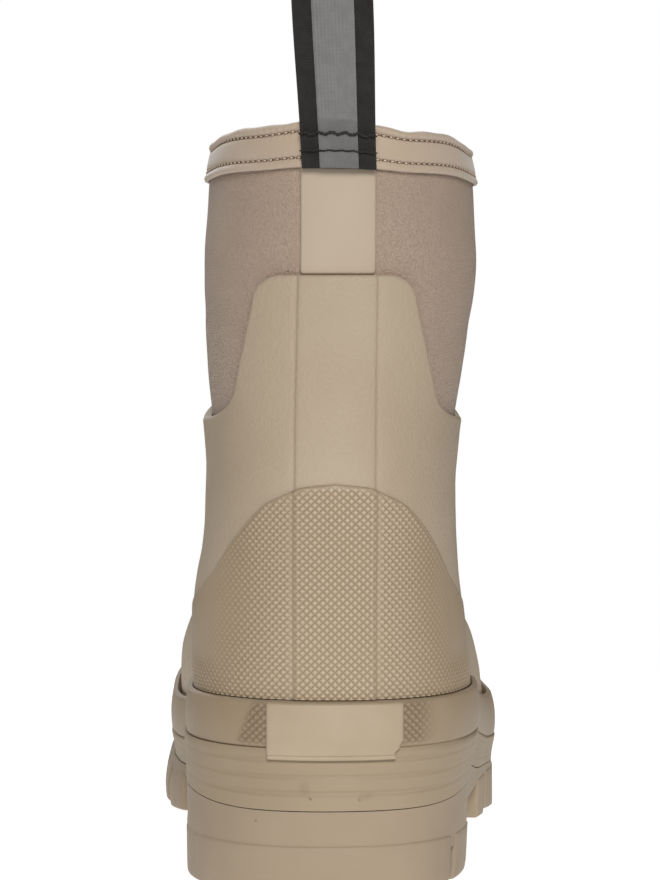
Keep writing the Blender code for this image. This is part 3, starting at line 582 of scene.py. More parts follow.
def strap_point(x, row, out):
    """A point of the strap: x across it, at a row of its middle line, out from it."""
    row = np.asarray(row).astype(int)
    y, z = loop_line[row].T
    ahead = unit(loop_line[np.minimum(row + 1, len(loop_line) - 1)] - loop_line[np.maximum(row - 1, 0)])
    y = y - ahead[:, 1] * out
    height = z + ahead[:, 0] * out
    rise = np.clip((z - COLLAR_HEIGHT) / (LOOP_TOP - COLLAR_HEIGHT), 0, 1)
    aside = LOOP_ASIDE + LOOP_SLANT * (z - BINDING_FOOT) / (LOOP_TOP - BINDING_FOOT)
    points = lean(np.stack([x + aside, y, height], -1)) + SHIFT
    level_bow = on_last(turn_at(x, np.full(x.shape, loop_level)), loop_level)[:, 1] - loop_back
    points[:, 1] += level_bow * (1 - BOW_LOST * rise)
    return points


def strap(name, rows, width_of, low, high, finish, steps=40):
    """A closed ribbon along the loop's middle line, thinner towards its two edges."""
    section_x = np.concatenate([np.linspace(-1, 1, steps + 1), np.linspace(1, -1, steps + 1)])
    top = np.concatenate([np.ones(steps + 1), np.zeros(steps + 1)])
    section_x, top = np.append(section_x, section_x[0]), np.append(top, top[0])

    def place(a, b):
        a, row = a.astype(int), b.astype(int)
        x = section_x[a] * width_of(loop_line[row][:, 1]) / 2
        thin = 1 - 0.5 * smoothstep(0.93, 1.0, np.abs(section_x[a]))
        middle, thick = (low + high) / 2, (high - low) / 2
        out = middle + np.where(top[a] > 0, thick, -thick) * thin
        return strap_point(x, row, out)

    piece = skin(name, range(len(section_x)), rows, place, finish)
    closed = bmesh.new()
    closed.from_mesh(piece.data)
    bmesh.ops.holes_fill(closed, edges=[edge for edge in closed.edges if edge.is_boundary], sides=0)
    bmesh.ops.recalc_face_normals(closed, faces=closed.faces)
    closed.to_mesh(piece.data)
    closed.free()
    return piece


def woven(name, colour, thread_colour, roughness, ribs, picks, depth, specular=0.2, sheen=0.15):
    """A ribbon's finish: ribs along it and picks across it, on its own UV map."""
    made = finish_of(name, colour, thread_colour, roughness, ((1900, 0.00006),), specular, 300.0, 0.0, sheen)
    nodes, links = made.node_tree.nodes, made.node_tree.links
    shader = nodes["Principled BSDF"]
    grid = nodes.new("ShaderNodeUVMap")
    grid.uv_map = "weave"
    under = shader.inputs["Normal"].links[0].from_socket
    for count, direction in ((ribs, "X"), (picks, "Y")):
        wave = nodes.new("ShaderNodeTexWave")
        wave.bands_direction = direction
        wave.inputs["Scale"].default_value = count / math.pi
        wave.inputs["Distortion"].default_value = 0.6
        links.new(grid.outputs["UV"], wave.inputs["Vector"])
        bump = nodes.new("ShaderNodeBump")
        bump.inputs["Distance"].default_value = depth
        links.new(wave.outputs["Fac"], bump.inputs["Height"])
        links.new(under, bump.inputs["Normal"])
        under = bump.outputs["Normal"]
    links.new(under, shader.inputs["Normal"])
    return made


# The height at which the webbing has spread to its full width
FULL_WIDTH_AT = 0.275


def loop_width(z):
    return LOOP_FOOT_WIDTH + (LOOP_HEAD_WIDTH - LOOP_FOOT_WIDTH) * smoothstep(BINDING_FOOT, FULL_WIDTH_AT, z)


webbing = woven("black webbing", seen(46, 44, 42), seen(36, 34, 33), 0.8, 60, 210, 0.00012)
loop = strap("webbing_loop", range(len(loop_line)), loop_width, -LOOP / 2, LOOP / 2, webbing)
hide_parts("pull_loop")

# The reflective stripe: a grey glass-bead ribbon woven into the middle of the loop, on its outer face.
# It goes up the outer leg and over the top, and its fine picks run across it.
STRIPE_SHARE, STRIPE, STRIPE_SLACK, STRIPE_TOP_ROWS = 0.0124 / LOOP_FOOT_WIDTH * 0.97, 0.0004, 0.0001, 18
stripe_rest = LOOP / 2 + STRIPE_SLACK
grey_ribbon = woven("grey ribbon", seen(124, 122, 121), seen(114, 112, 111), 0.5, 24, 240, 0.00008, 0.5, 0.0)
stripe = strap("reflective_stripe", range(FOOT_ROWS + LEG_ROWS + STRIPE_TOP_ROWS),
               lambda z: loop_width(z) * STRIPE_SHARE, stripe_rest, stripe_rest + STRIPE, grey_ribbon, 24)
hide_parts("reflective_strip")

# The loop's stitches: a thick wavy bar across it near the rim, and a thin row lower down, in black thread.
# They hold the webbing's two ends to the two faces of the collar.
black_thread = thread_of("black thread", seen(42, 38, 36), seen(30, 27, 26), 0.75)
bars = bmesh.new()
# Each row: height, stitches, their thickness, how much they wave
SEWN_BARS = ((0.2325, 19, 0.00060, 0.00035), (0.2274, 21, 0.00036, 0.0001))
BAR_HALF, BAR_RISE, BAR_STITCH = 0.0113, 0.0002, 0.0019
for height, count, thick, wave in SEWN_BARS:
    row = int(np.abs(loop_line[:FOOT_ROWS, 1] - height).argmin())
    x = np.linspace(-BAR_HALF, BAR_HALF, count)
    at = strap_point(x, np.full(count, row), LOOP / 2 + STRIPE + BAR_RISE)
    at[:, 2] += wave * np.sin(np.arange(count) * 1.9)
    along_bar = unit(np.gradient(at, axis=0))
    outward = np.tile(np.array([0.0, -1.0, 0.0]), (count, 1))
    stitch_row(bars, at, outward, along_bar, BAR_STITCH, thick)
loop_stitches = make_piece("loop_stitches", bars, black_thread)

# The upper: a shell of rubber 2.2 mm thick, moulded over the bootie, open at its top line and underneath.
# A tall tab with round shoulders climbs up the back, where the edge of the stay shows through as a soft step.
TAB_HALF, TAB_FULLER, TAB_FILLET, TAB_FOOT_HALF, TAB_CORNER = 0.0236, 0.0017, 0.0110, 0.0294, 0.0080
TOP_LINE, VAMP_TOP_LINE = 0.1450, 0.158
# The stay's edge under the rubber: the step it leaves, a soft line beside the step, and where each lies
RELIEF, STEP_REACH, TROUGH, STRIP_EDGE, STRIP_SOFT = 0.0005, (0.0122, 0.0112), 0.0003, 0.0119, 0.0006


def half_top_line(tab_half):
    """One half of the upper's top line as (turn, height), from the back round to the toe."""
    strip = np.array([0, 2.5, 5, 7.5, 9.5, 10.5, 11.1, 11.4, 11.7, 12.0, 12.6, 13.6, 15.0]) / 1000
    corner = np.radians(np.linspace(90, 0, 15))
    side = np.linspace(0, 1, 20)[1:-1]
    fillet = np.radians(np.linspace(90, 0, 15))
    x = np.concatenate([
        strip, tab_half - TAB_CORNER * (1 - np.cos(corner)),
        tab_half + (TAB_FOOT_HALF - tab_half) * side, TAB_FOOT_HALF + TAB_FILLET * (1 - np.sin(fillet))])
    z = np.concatenate([
        np.full(strip.shape, TAB_TOP), TAB_TOP - TAB_CORNER * (1 - np.sin(corner)),
        TAB_TOP - TAB_CORNER + (TOP_LINE + TAB_FILLET - TAB_TOP + TAB_CORNER) * side,
        TOP_LINE + TAB_FILLET * (1 - np.cos(fillet))])
    tab_turns = turn_at(x, level_at(z))
    rest = np.linspace(tab_turns[-1], 0.5, 96)[1:]
    share = (1 - np.cos(np.pi * np.clip((rest - 0.22) / 0.28, 0, 1))) / 2
    turn = np.concatenate([tab_turns, rest])
    z = np.concatenate([z, TOP_LINE + (VAMP_TOP_LINE - TOP_LINE) * share])
    return turn, z


outer_half, inner_half = half_top_line(TAB_HALF), half_top_line(TAB_HALF + TAB_FULLER)
edge_turn = np.concatenate([-inner_half[0][:0:-1], outer_half[0]])
edge_level = level_at(np.concatenate([inner_half[1][:0:-1], outer_half[1]]))


def inset_line(turn, level, distance):
    """The line a distance inside this one, on the last."""
    step = 0.0015
    across = (on_last(turn + step, level) - on_last(turn - step, level)) / (2 * step)
    upward = (on_last(turn, level + step) - on_last(turn, level - step)) / (2 * step)
    points = on_last(turn, level)
    inward = unit(np.cross(unit(np.gradient(points, axis=0)), facing(turn, level)))
    if inward[len(inward) // 2, 2] > 0:
        inward = -inward
    inward[0, :2] = inward[-1, :2] = 0.0
    a, b, c = ((p * q).sum(-1) for p, q in ((across, across), (across, upward), (upward, upward)))
    d, e = ((p * inward).sum(-1) * distance for p in (across, upward))
    solved = a * c - b * b
    return turn + (c * d - b * e) / solved, level + (a * e - b * d) / solved


# The rows over the rim, by how far in from the top line they lie
RIM_INSETS = np.array([0.0, 0.0001, 0.0003, 0.0006, 0.001, 0.0014, 0.0018])
# The rim is rounded over this much, down to this share of the wall
RIM_ROUND, RIM_EDGE = 0.0013, 0.45
rim_lines = [inset_line(edge_turn, edge_level, inset) for inset in RIM_INSETS]
inner_turn, inner_level = rim_lines[-1]
start_turn = turn_at(np.full(inner_level.shape, BACK_REACH), inner_level)
near_line = np.abs(on_last(inner_turn, inner_level)[:, 0]) / BACK_REACH * BACK_SHARE
far_line = BACK_SHARE + (np.abs(inner_turn) - start_turn) / (0.5 - start_turn) * (0.5 - BACK_SHARE)
upper_line = np.where(np.abs(inner_turn) <= start_turn, near_line, far_line)
upper_line = np.copysign(np.minimum(upper_line, 0.5), inner_turn)
OUTER_ROWS, INNER_ROWS = 84, 30
rim_turns, rim_levels = (np.array([line[i] for line in rim_lines]) for i in (0, 1))
# Soft folds of the rubber at the ankle and over the instep: columns as the neoprene's creases have
UPPER_FOLDS = (
    (-0.17, 0.128, 0.10, 0.0070, -0.0005, -0.04), (0.18, 0.124, 0.10, 0.0075, -0.0005, 0.05),
    (0.42, 0.112, 0.09, 0.0050, -0.0010, 0.05), (0.50, 0.102, 0.12, 0.0055, 0.0009, 0.00),
    (0.58, 0.092, 0.09, 0.0050, -0.0009, -0.05), (-0.10, 0.142, 0.06, 0.0060, 0.0003, 0.02),
)
# The rubber stands fuller on the inner side of the ankle, between these turns: height, how much
INNER_FROM, INNER_TO = (0.05, 0.13), (0.44, 0.34)
INNER_FULL = ((0.058, 0.0000), (0.066, 0.0010), (0.075, 0.0018), (0.087, 0.0027), (0.095, 0.0023),
              (0.103, 0.0014), (0.115, 0.0009), (0.150, 0.0008))


def inner_fullness(turn, z):
    inner = (-((turn + 0.5) % 1.0 - 0.5))
    return curve(INNER_FULL, z, 1) * smoothstep(*INNER_FROM, inner) * smoothstep(*INNER_TO, inner)


def strip_line(x):
    """1 along the soft line that the stay's edge leaves under the rubber, 0 away from it."""
    return np.exp(-((x - STRIP_EDGE) / STRIP_SOFT) ** 2)


def strip_step(x):
    """How far the rubber stands out over the stay, at a distance from the back line."""
    return RELIEF * smoothstep(*STEP_REACH, x)


def upper_place(column, row):
    """Rows run over the rim from its edge, down the outer face, up the inner face, and close at the edge."""
    column, row = column.astype(int), row.astype(int)
    rim, inner_foot = len(RIM_INSETS), len(RIM_INSETS) + OUTER_ROWS
    last = inner_foot + INNER_ROWS
    on_rim, inside = row < rim, row >= inner_foot
    down = np.where(inside, 1 - (row - inner_foot + 1) / INNER_ROWS, (row - rim + 1) / OUTER_ROWS)
    level = inner_level[column] + (1.0 - inner_level[column]) * np.clip(down, 0, 1)
    turn = line_turn(upper_line[column], level)
    x = np.abs(upper_line[column]) / BACK_SHARE * BACK_REACH
    strip = strip_step(x) - TROUGH * strip_line(x)
    height = heel_height(level)
    shell = UPPER_OUT + strip + creases(turn, height, UPPER_FOLDS) + inner_fullness(turn, height)
    rim_row = np.clip(row, 0, rim - 1)
    turn = np.where(on_rim, rim_turns[rim_row, column], turn)
    level = np.where(on_rim, rim_levels[rim_row, column], level)
    edge = RIM_EDGE + (1 - RIM_EDGE) * rounded(RIM_INSETS[rim_row], RIM_ROUND)
    wall = UPPER_OUT - GAP + strip + inner_fullness(turn, heel_height(level))
    out = np.where(on_rim, GAP + wall * edge, np.where(inside, GAP, shell))
    out = np.where(row > last, GAP + wall * RIM_EDGE, out)
    turn = np.where(row >= last, edge_turn[column], turn)
    level = np.where(row >= last, edge_level[column], level)
    return wrap(turn, level, out)


matt_rubber = finish_of("matt rubber", seen(178, 161, 138), seen(172, 154, 131), 0.55,
                        ((760, 0.00026), (1900, 0.00014)), specular=0.4, blotch=30.0)
upper = skin("rubber_upper", range(len(edge_turn)), range(len(RIM_INSETS) + OUTER_ROWS + INNER_ROWS + 2),
             upper_place, matt_rubber, 60)
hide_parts("upper")

# The heel patch: a dome of thin rubber moulded with rows of small diamonds for grip, to kick the boot off by.
# The diamonds are sharp up the middle and near the rand, and fade into a smooth skin at the sides.
KNURL, KNURL_DEPTH, PATCH, PATCH_TOP, PATCH_REACH = 0.0023, 0.0006, 0.0007, 0.125, 0.2
PATCH_REST, PATCH_EDGE, SKIRT, GRID_HALF = 0.00005, 0.0008, 0.0011, 0.128
# The diamonds fade between these distances from the back line, further out lower down, and near the rand
# between these heights. They keep a faint share at the sides, and stop short of the patch's edge.
SIDE_FADE, FADE_SPREAD, FADE_FROM, RAND_FADE, FAINT, EDGE_FADE = (
    (0.034, 0.022), 0.25, 0.085, (0.074, 0.064), 0.12, (0.0004, 0.0016))
# The patch thins to its sides between these turns, and painted shade darkens its colour between these
# distances from the back line
THIN_SIDES, THIN_SHARE, SHADED_SIDES = (0.115, 0.165), 0.85, (0.012, 0.034)
# The patch's outline: turn, height
ARCH = ((0.000, 0.1250), (0.030, 0.1238), (0.050, 0.1213), (0.065, 0.1190), (0.081, 0.1148), (0.093, 0.1103),
        (0.103, 0.1055), (0.111, 0.0995), (0.121, 0.0930), (0.138, 0.0878), (0.165, 0.0825), (0.184, 0.0740),
        (0.200, 0.0560))


def diamonds(i, j):
    """The height of diamonds on a grid with four lines to a diamond each way."""
    heights = np.array([0.0, 0.62, 1.0, 0.62])
    return np.minimum(heights[(i + j) % 4], heights[(i - j) % 4])


def arch_height(turn):
    return curve(ARCH, np.abs(turn), 1)


cell = KNURL / 4
patch_foot = EDGE[0] + RAND_HEIGHT + 0.0002
patch_rows = int((PATCH_TOP - patch_foot) / cell) + 3
patch_half = int(GRID_HALF / cell)
patch_heights = patch_foot + cell * np.arange(patch_rows)
patch_levels = level_at(patch_heights)
fine_turns = np.linspace(0, 0.26, 500)
patch_turns = np.zeros((patch_rows, 2 * patch_half + 1))
for k, level in enumerate(patch_levels):
    steps = np.linalg.norm(np.diff(on_last(fine_turns, level), axis=0), axis=1)
    reached = np.concatenate([[0], np.cumsum(steps)])
    half = np.interp(cell * np.arange(patch_half + 1), reached, fine_turns)
    patch_turns[k] = np.concatenate([-half[:0:-1], half])

patch, grid_i, grid_j = new_grid(2 * patch_half, patch_rows - 1)
patch_shade_layer = patch.verts.layers.float.new("painted_shade_tone")
turns = patch_turns[grid_j, grid_i]
levels = patch_levels[grid_j]
heights = patch_heights[grid_j]
inside_arch = (heights < arch_height(turns)) & (np.abs(turns) < PATCH_REACH)
outline_turns = np.linspace(-PATCH_REACH, PATCH_REACH, 1800)
outline_levels = level_at(arch_height(outline_turns))
outline_points = wrap(outline_turns, outline_levels, np.zeros(outline_turns.shape))
tree = kdtree.KDTree(len(outline_points))
for index, point in enumerate(outline_points):
    tree.insert(point, index)
tree.balance()
base_points = wrap(turns, levels, np.zeros(turns.shape))
_, nearest_index, distance = (np.array(found) for found in zip(*(tree.find(point) for point in base_points)))
fold_cells(patch, grid_i, grid_j)
patch.verts.ensure_lookup_table()
stray = [face for face in patch.faces if not any(inside_arch[vert.index] for vert in face.verts)]
outside = ~inside_arch
turns = np.where(outside, outline_turns[nearest_index], turns)
levels = np.where(outside, outline_levels[nearest_index], levels)
distance = np.where(outside, 0.0, distance)
strip_x = np.abs(on_last(turns, levels)[:, 0])
strip_lift = strip_step(strip_x) - TROUGH * strip_line(strip_x)
side_fade = smoothstep(*SIDE_FADE, strip_x - FADE_SPREAD * np.clip(FADE_FROM - heights, 0, 0.03))
side_fade = np.maximum(side_fade, 0.85 * smoothstep(*RAND_FADE, heights))
shown = (FAINT + (1 - FAINT) * side_fade) * smoothstep(*EDGE_FADE, distance)
knurl = diamonds(grid_i, grid_j) * KNURL_DEPTH * shown * (1 - 0.75 * strip_line(strip_x))
thickness = PATCH * rounded(distance, PATCH_EDGE) * (1 - THIN_SHARE * smoothstep(*THIN_SIDES, np.abs(turns)))
outs = UPPER_OUT + PATCH_REST + strip_lift + thickness + knurl + inner_fullness(turns, heights)
# Painted shade in the patch's colour: darker towards its sides, along the soft line of the stay's edge, round
# its outline, and in the diamonds' grooves.
side_shade_tone = 0.5 - 0.26 * smoothstep(*SHADED_SIDES, strip_x)
line_shade_tone = (1 - 0.6 * strip_line(strip_x)) * (1 - 0.6 * np.exp(-(distance / 0.0006) ** 2))
patch_shade_tone = (side_shade_tone + (diamonds(grid_i, grid_j) - 0.5) * shown) * line_shade_tone
for vert, point, height in zip(patch.verts, wrap(turns, levels, outs), patch_shade_tone):
    vert.co, vert[patch_shade_layer] = point, height
bmesh.ops.delete(patch, geom=stray, context="FACES")
bmesh.ops.dissolve_degenerate(patch, dist=1e-5, edges=patch.edges)
rim_edges = [edge for edge in patch.edges if edge.is_boundary]
skirt = bmesh.ops.extrude_edge_only(patch, edges=rim_edges)["geom"]
for vert in skirt:
    if isinstance(vert, bmesh.types.BMVert):
        vert.co = vert.co - vert.normal * SKIRT
bmesh.ops.holes_fill(patch, edges=[edge for edge in patch.edges if edge.is_boundary], sides=0)
# Its groove colour is the painted shade that the patch's shade tone lays on.
knurled_rubber = finish_of("knurled rubber", seen(199, 182, 158), seen(189, 171, 147), 0.48,
                           ((1400, 0.00005),), specular=0.42, blotch=26.0, groove=seen(150, 130, 104))
heel_patch = make_piece("knurled_patch", patch, knurled_rubber, 75)
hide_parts("heel_patch")

# The rand: a rubber band wrapped right round the join of upper and sole, rounded on both edges, with a belly.
# At the back it is knurled in a wedge each side of the plate.
RAND, RAND_REST, RAND_EDGE, RAND_FOOT_EDGE, RAND_HEAD_EDGE, BELLY = 0.003, 0.0001, 0.0013, 0.80, 0.55, 0.0006
# The level of its foot and the levels it spans, and how far round the back its fine columns reach
RAND_LEVEL, RAND_SPAN, RAND_FINE, RAND_BACK_ROWS = 0.994, 1.001, 0.033, 8
# The wedges of diamonds: x where each starts and is full, and how far the left one slants in over the band
KNURL_LEFT, KNURL_RIGHT, WEDGE_SLANT = (-0.0275, -0.0255), (0.0290, 0.0215), 0.005
rand_arc = even_turns(1.5, cell)
rand_count = len(rand_arc) - 1
rand_near = int(RAND_FINE / cell)
rand_last = rand_count - rand_near
rand_columns = np.concatenate([np.arange(rand_near), np.arange(rand_near, rand_last, 4),
                               np.arange(rand_last, rand_count + 1)])
rand_rows = int(RAND_HEIGHT / cell)


def rand_place(column, row, only_shade_tone=False):
    column, row = column.astype(int), row.astype(int)
    front = row <= rand_rows
    share = np.clip(np.where(front, row / rand_rows, 1 - (row - rand_rows) / RAND_BACK_ROWS), 0, 1)
    turn, level = rand_arc[column], RAND_LEVEL + RAND_SPAN * share
    x = on_last(turn, level)[:, 0]
    behind = (column < rand_near) | (column > rand_last)
    wedges = (smoothstep(*KNURL_LEFT, x - WEDGE_SLANT * share) * (x < 0)
              + smoothstep(*KNURL_RIGHT, x) * (x > 0))
    knurled = wedges * behind * smoothstep(0.03, 0.14, share) * smoothstep(0.98, 0.88, share)
    # The shade tone: painted shade in the grooves of the knurled wedges, and none elsewhere.
    if only_shade_tone:
        return 1 - (1 - diamonds(column, row)) * knurled
    edge = np.where(share < 0.5, RAND_FOOT_EDGE, RAND_HEAD_EDGE)
    profile = RAND * (edge + (1 - edge) * rounded(np.minimum(share, 1 - share) * RAND_HEIGHT, RAND_EDGE))
    proud = profile + BELLY * np.sin(np.pi * share) + diamonds(column, row) * KNURL_DEPTH * knurled
    strip = strip_step(np.abs(x)) * smoothstep(0.75, 1.0, share)
    return wrap(turn, level, UPPER_OUT + RAND_REST + strip + np.where(front, proud, 0.0))


# Its groove colour is painted shade in the knurl's grooves.
band_rubber = finish_of("rand rubber", seen(156, 138, 113), seen(148, 129, 104), 0.55,
                        ((260, 0.00008), (1500, 0.00004)), specular=0.38, blotch=24.0,
                        groove=seen(122, 103, 82))
rand_loop = list(range(rand_rows + RAND_BACK_ROWS + 1)) + [0]
rand = skin("rand_band", rand_columns, rand_loop, rand_place, band_rubber, 70, True,
            lambda column, row: rand_place(column, row, True))
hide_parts("rand")

# The heel plate: a bare raised pad moulded on the rand at the back, with softened edges.
# It hangs a little over the sole's edge, with a thin shelf under it that stops short of its right end.
PLATE_HALF, PLATE_FOOT, PLATE_HEIGHT, PLATE, PLATE_EDGE = 0.018348, 0.0427, 0.0162, 0.0014, 0.0011
SHELF_LEFT, SHELF_RIGHT = -0.017952, 0.016192
SHELF_FOOT, SHELF_HEAD = PLATE_FOOT - 0.0010, PLATE_FOOT + 0.0006
SHELF, SHELF_REST, SHELF_EDGE = 0.0012, SIDE_STACK + 0.0001, 0.0003
# The right end steps in low down: the heights between which it does, how far
PLATE_NOTCH = ((0.0476, 0.0458, 0.0009), (0.0452, 0.0438, 0.0012))
plate_rest, plate_head = UPPER_OUT + RAND + 0.0003, PLATE_FOOT + PLATE_HEIGHT
plate_half = round_corners(PLATE_HALF, 0.0010, PLATE_FOOT, plate_head)


def plate_sides(z):
    notch = sum(far * smoothstep(high, low, z) for high, low, far in PLATE_NOTCH)
    return -plate_half(z), plate_half(z) - notch


plate_rubber = finish_of("plate rubber", seen(172, 155, 131), seen(165, 147, 123), 0.5,
                         ((300, 0.00008), (1900, 0.00004)), specular=0.4, blotch=60.0)
plate = pad("bare_plate", PLATE_FOOT, plate_head, plate_sides, plate_rest, PLATE, PLATE_EDGE, plate_rubber,
            60, 60)
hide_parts("heel_plate")
shelf = pad("plate_shelf", SHELF_FOOT, SHELF_HEAD, lambda z: (SHELF_LEFT + 0 * z, SHELF_RIGHT + 0 * z),
            SHELF_REST, SHELF, SHELF_EDGE, plate_rubber, 50, 14)

# The midsole: a rubber cup under and around the foot. Three fine grooves round its side leave flat ribs
# between them, and a narrow ledge catches the light along its top edge.
RIB_GROOVES, GROOVE_DEPTH, GROOVE_HALF = (0.28, 0.55, 0.81), 0.00042, 0.045
# Share of the side's height, how far it stands in from the sole's edge in shares of the cup's wall
SIDE_INSET = ((0.00, 0.45), (0.27, 0.36), (0.55, 0.22), (0.81, 0.05), (0.93, 0.00), (0.98, 0.03),
              (1.00, 0.16))
# How much of those insets the inner and outer sides keep, and how far the inner side stands further out
INNER_KEEPS, OUTER_KEEPS, INNER_FULLER = 0.3, 2.0, 0.0009
# Round the heel, the grooves fade between these turns to a last share of their depth
RIB_FADE, RIBS_LEFT, SEAM_RISE = (0.10, 0.055), 0.15, 0.0034
# Shares of the length between which the seam climbs, the seam comes down, and the heel's side ends
SEAM_UP, SEAM_DOWN, HEEL_ENDS = (0.03, 0.16), (0.50, 0.36), (0.50, 0.30)
# Scuffs on the back of the sole: x, height, half length, half width, slant from upright, colour
CUP_SCUFFS = ((-0.0151, 0.0329, 0.0034, 0.0024, 0.0, (143, 126, 104)),
              (-0.0133, 0.0299, 0.0010, 0.0005, -0.78, (106, 88, 64)),
              (0.0040, 0.0304, 0.0038, 0.0017, 1.45, (145, 128, 106)),
              (0.0018, 0.0294, 0.0010, 0.0008, 0.0, (134, 116, 92)))


def seam_height(y):
    """The seam's height: it climbs round the heel's sides and comes down again before the forefoot."""
    share = y / LENGTH + 0.5
    return line_height(y, SEAM) + SEAM_RISE * smoothstep(*SEAM_UP, share) * smoothstep(*SEAM_DOWN, share)


def side_keeps(turn):
    """The share of its insets that a side of the heel keeps, and how much fuller it is."""
    outer = np.sin(2 * np.pi * turn) * smoothstep(*HEEL_ENDS, (1 - np.cos(2 * np.pi * turn)) / 2)
    keeps = 1 + (OUTER_KEEPS - 1) * np.maximum(outer, 0) + (INNER_KEEPS - 1) * np.maximum(-outer, 0)
    return keeps, INNER_FULLER * np.maximum(-outer, 0)


side_shares = np.unique(np.concatenate([np.linspace(0, 1, 26)] + [
    groove + GROOVE_HALF * np.array([-1, -0.6, -0.3, 0, 0.3, 0.6, 1]) for groove in RIB_GROOVES]))


def drawn_in(turn, level, out, shrink):
    """Points out from the last, drawn in to the sole's middle line by a share."""
    out = np.asarray(out)[..., None]
    point = on_last(turn, level) + facing(turn, level) * out
    mirrored = on_last(-turn, level) + facing(-turn, level) * out
    middle = (point[:, 0] + mirrored[:, 0]) / 2
    point[:, 0] = middle + (point[:, 0] - middle) * shrink
    return point


def ring_point(turn, out, height_of, shrink=1.0, level=1.0):
    """A point round the sole at a height that runs along the foot."""
    level = np.full(turn.shape, level)
    point = drawn_in(turn, level, out, shrink)
    point[:, 2] = height_of(on_last(turn, level)[:, 1])
    return point + SHIFT


cup_out, LIP_INSET, LIP_DROP = UPPER_OUT + 0.0002, 0.7, 0.0001
shrinks = (0.0, 0.3, 0.6, 0.9)
midsole_rows = ([("under", s) for s in shrinks] + [("side", s) for s in side_shares] + [("lip", 0.5)]
                + [("cup", s) for s in np.linspace(0, 1, 8)] + [("floor", s) for s in reversed(shrinks)])


def along(share, foot, head):
    """A line along the foot, at a share of the way up from one line to another."""
    return lambda y: foot(y) * (1 - share) + head(y) * share


def cup_edge(y):
    return line_height(y, EDGE)


def cup_floor(y):
    return line_height(y, FLOOR)


def midsole_place(turn, row):
    points = np.zeros((len(turn), 3))
    for index, (kind, share) in enumerate(midsole_rows):
        here = row == index
        t = turn[here]
        keeps, fuller = side_keeps(t)
        if kind == "side":
            dips = (np.maximum(0, 1 - ((share - middle) / GROOVE_HALF) ** 2) for middle in RIB_GROOVES)
            groove = sum(dips) * GROOVE_DEPTH
            fade = RIBS_LEFT + (1 - RIBS_LEFT) * smoothstep(*RIB_FADE, np.minimum(t, 1 - t))
            inset = CUP_WALL * float(curve(SIDE_INSET, np.array([share]), 1)[0])
            out = SIDE_STACK + fuller - groove * fade - inset * keeps
            points[here] = ring_point(t, out, along(share, seam_height, cup_edge))
        elif kind == "under":
            out = SIDE_STACK + fuller - CUP_WALL * SIDE_INSET[0][1] * keeps
            points[here] = ring_point(t, out, seam_height, share)
        elif kind == "lip":
            out = np.full(t.shape, SIDE_STACK - CUP_WALL * LIP_INSET)
            points[here] = ring_point(t, out, lambda y: cup_edge(y) - LIP_DROP)
        elif kind == "cup":
            points[here] = ring_point(t, np.full(t.shape, cup_out), along(share, cup_edge, cup_floor))
        else:
            points[here] = ring_point(t, np.full(t.shape, cup_out), cup_floor, share)
    return points


sole_rubber = finish_of("sole rubber", seen(157, 140, 116), seen(149, 132, 108), 0.6,
                        ((260, 0.00008), (1500, 0.00004)), specular=0.36, blotch=24.0)


def scuff(made, x, z, half_long, half_wide, slant, colour):
    """A dark rub on the back of the heel, its long way turned from the upright by slant."""
    nodes, links = made.node_tree.nodes, made.node_tree.links
    place, spot, mixed = (nodes.new("ShaderNode" + kind) for kind in ("Mapping", "TexGradient", "Mix"))
    place.vector_type, spot.gradient_type, mixed.data_type = "TEXTURE", "SPHERICAL", "RGBA"
    place.inputs["Location"].default_value = (x, -LENGTH / 2, z)
    place.inputs["Rotation"].default_value = (0, slant, 0)
    place.inputs["Scale"].default_value = (half_wide, 0.02, half_long)
    links.new(nodes.new("ShaderNodeTexCoord").outputs["Object"], place.inputs["Vector"])
    links.new(place.outputs["Vector"], spot.inputs["Vector"])
    links.new(spot.outputs["Fac"], mixed.inputs["Factor"])
    base = nodes["Principled BSDF"].inputs["Base Color"]
    links.new(base.links[0].from_socket, mixed.inputs["A"])
    mixed.inputs["B"].default_value = seen(*colour)
    links.new(mixed.outputs["Result"], base)


for entry in CUP_SCUFFS:
    scuff(sole_rubber, *entry)
midsole = skin("sole_cup", np.linspace(0, 1, 361), range(len(midsole_rows)), midsole_place, sole_rubber, 50)
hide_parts("midsole")

# The outsole: a rubber tread under the midsole. Round its edge stand blocks that taper under the heel and
# flare out under the forefoot, with open channels between them. Chevron bars fill the middle, and the arch
# is raised.
LUG_FLARE, OUTER_TUCK, CHANNEL_FLOOR, LUG_HEAD_HEEL, LUG_HEAD_BALL = 0.002, 0.0014, 0.007, 0.0151, 0.0150
# How far the tread's own side ends below the blocks' heads, and how far its channels slope in
HEEL_OVERLAP, BALL_OVERLAP, CHANNEL_SLOPE = 0.0042, 0.0012, 0.0045
# The side turns from the heel's to the forefoot's over this share of the length, and its foot between these
FORE_FROM, FORE_SPAN, FOOT_TURNS = 0.46, 0.16, (0.36, 0.52)
ARCH_RISE, ARCH_BACK, ARCH_FRONT = 0.012, 0.345, 0.492
# Height share from the ground to the seam, heel's inset in shares of the cup's wall, forefoot's flare
TREAD_SIDE = ((0.00, 0.90, 0.35), (0.09, 0.80, 0.85), (0.40, 0.72, 1.00), (0.82, 0.58, 0.30),
              (1.00, 0.48, -0.55))


def ground(y):
    return TOE_SPRING * curve(HEIGHTS, y / LENGTH + 0.5, 2)


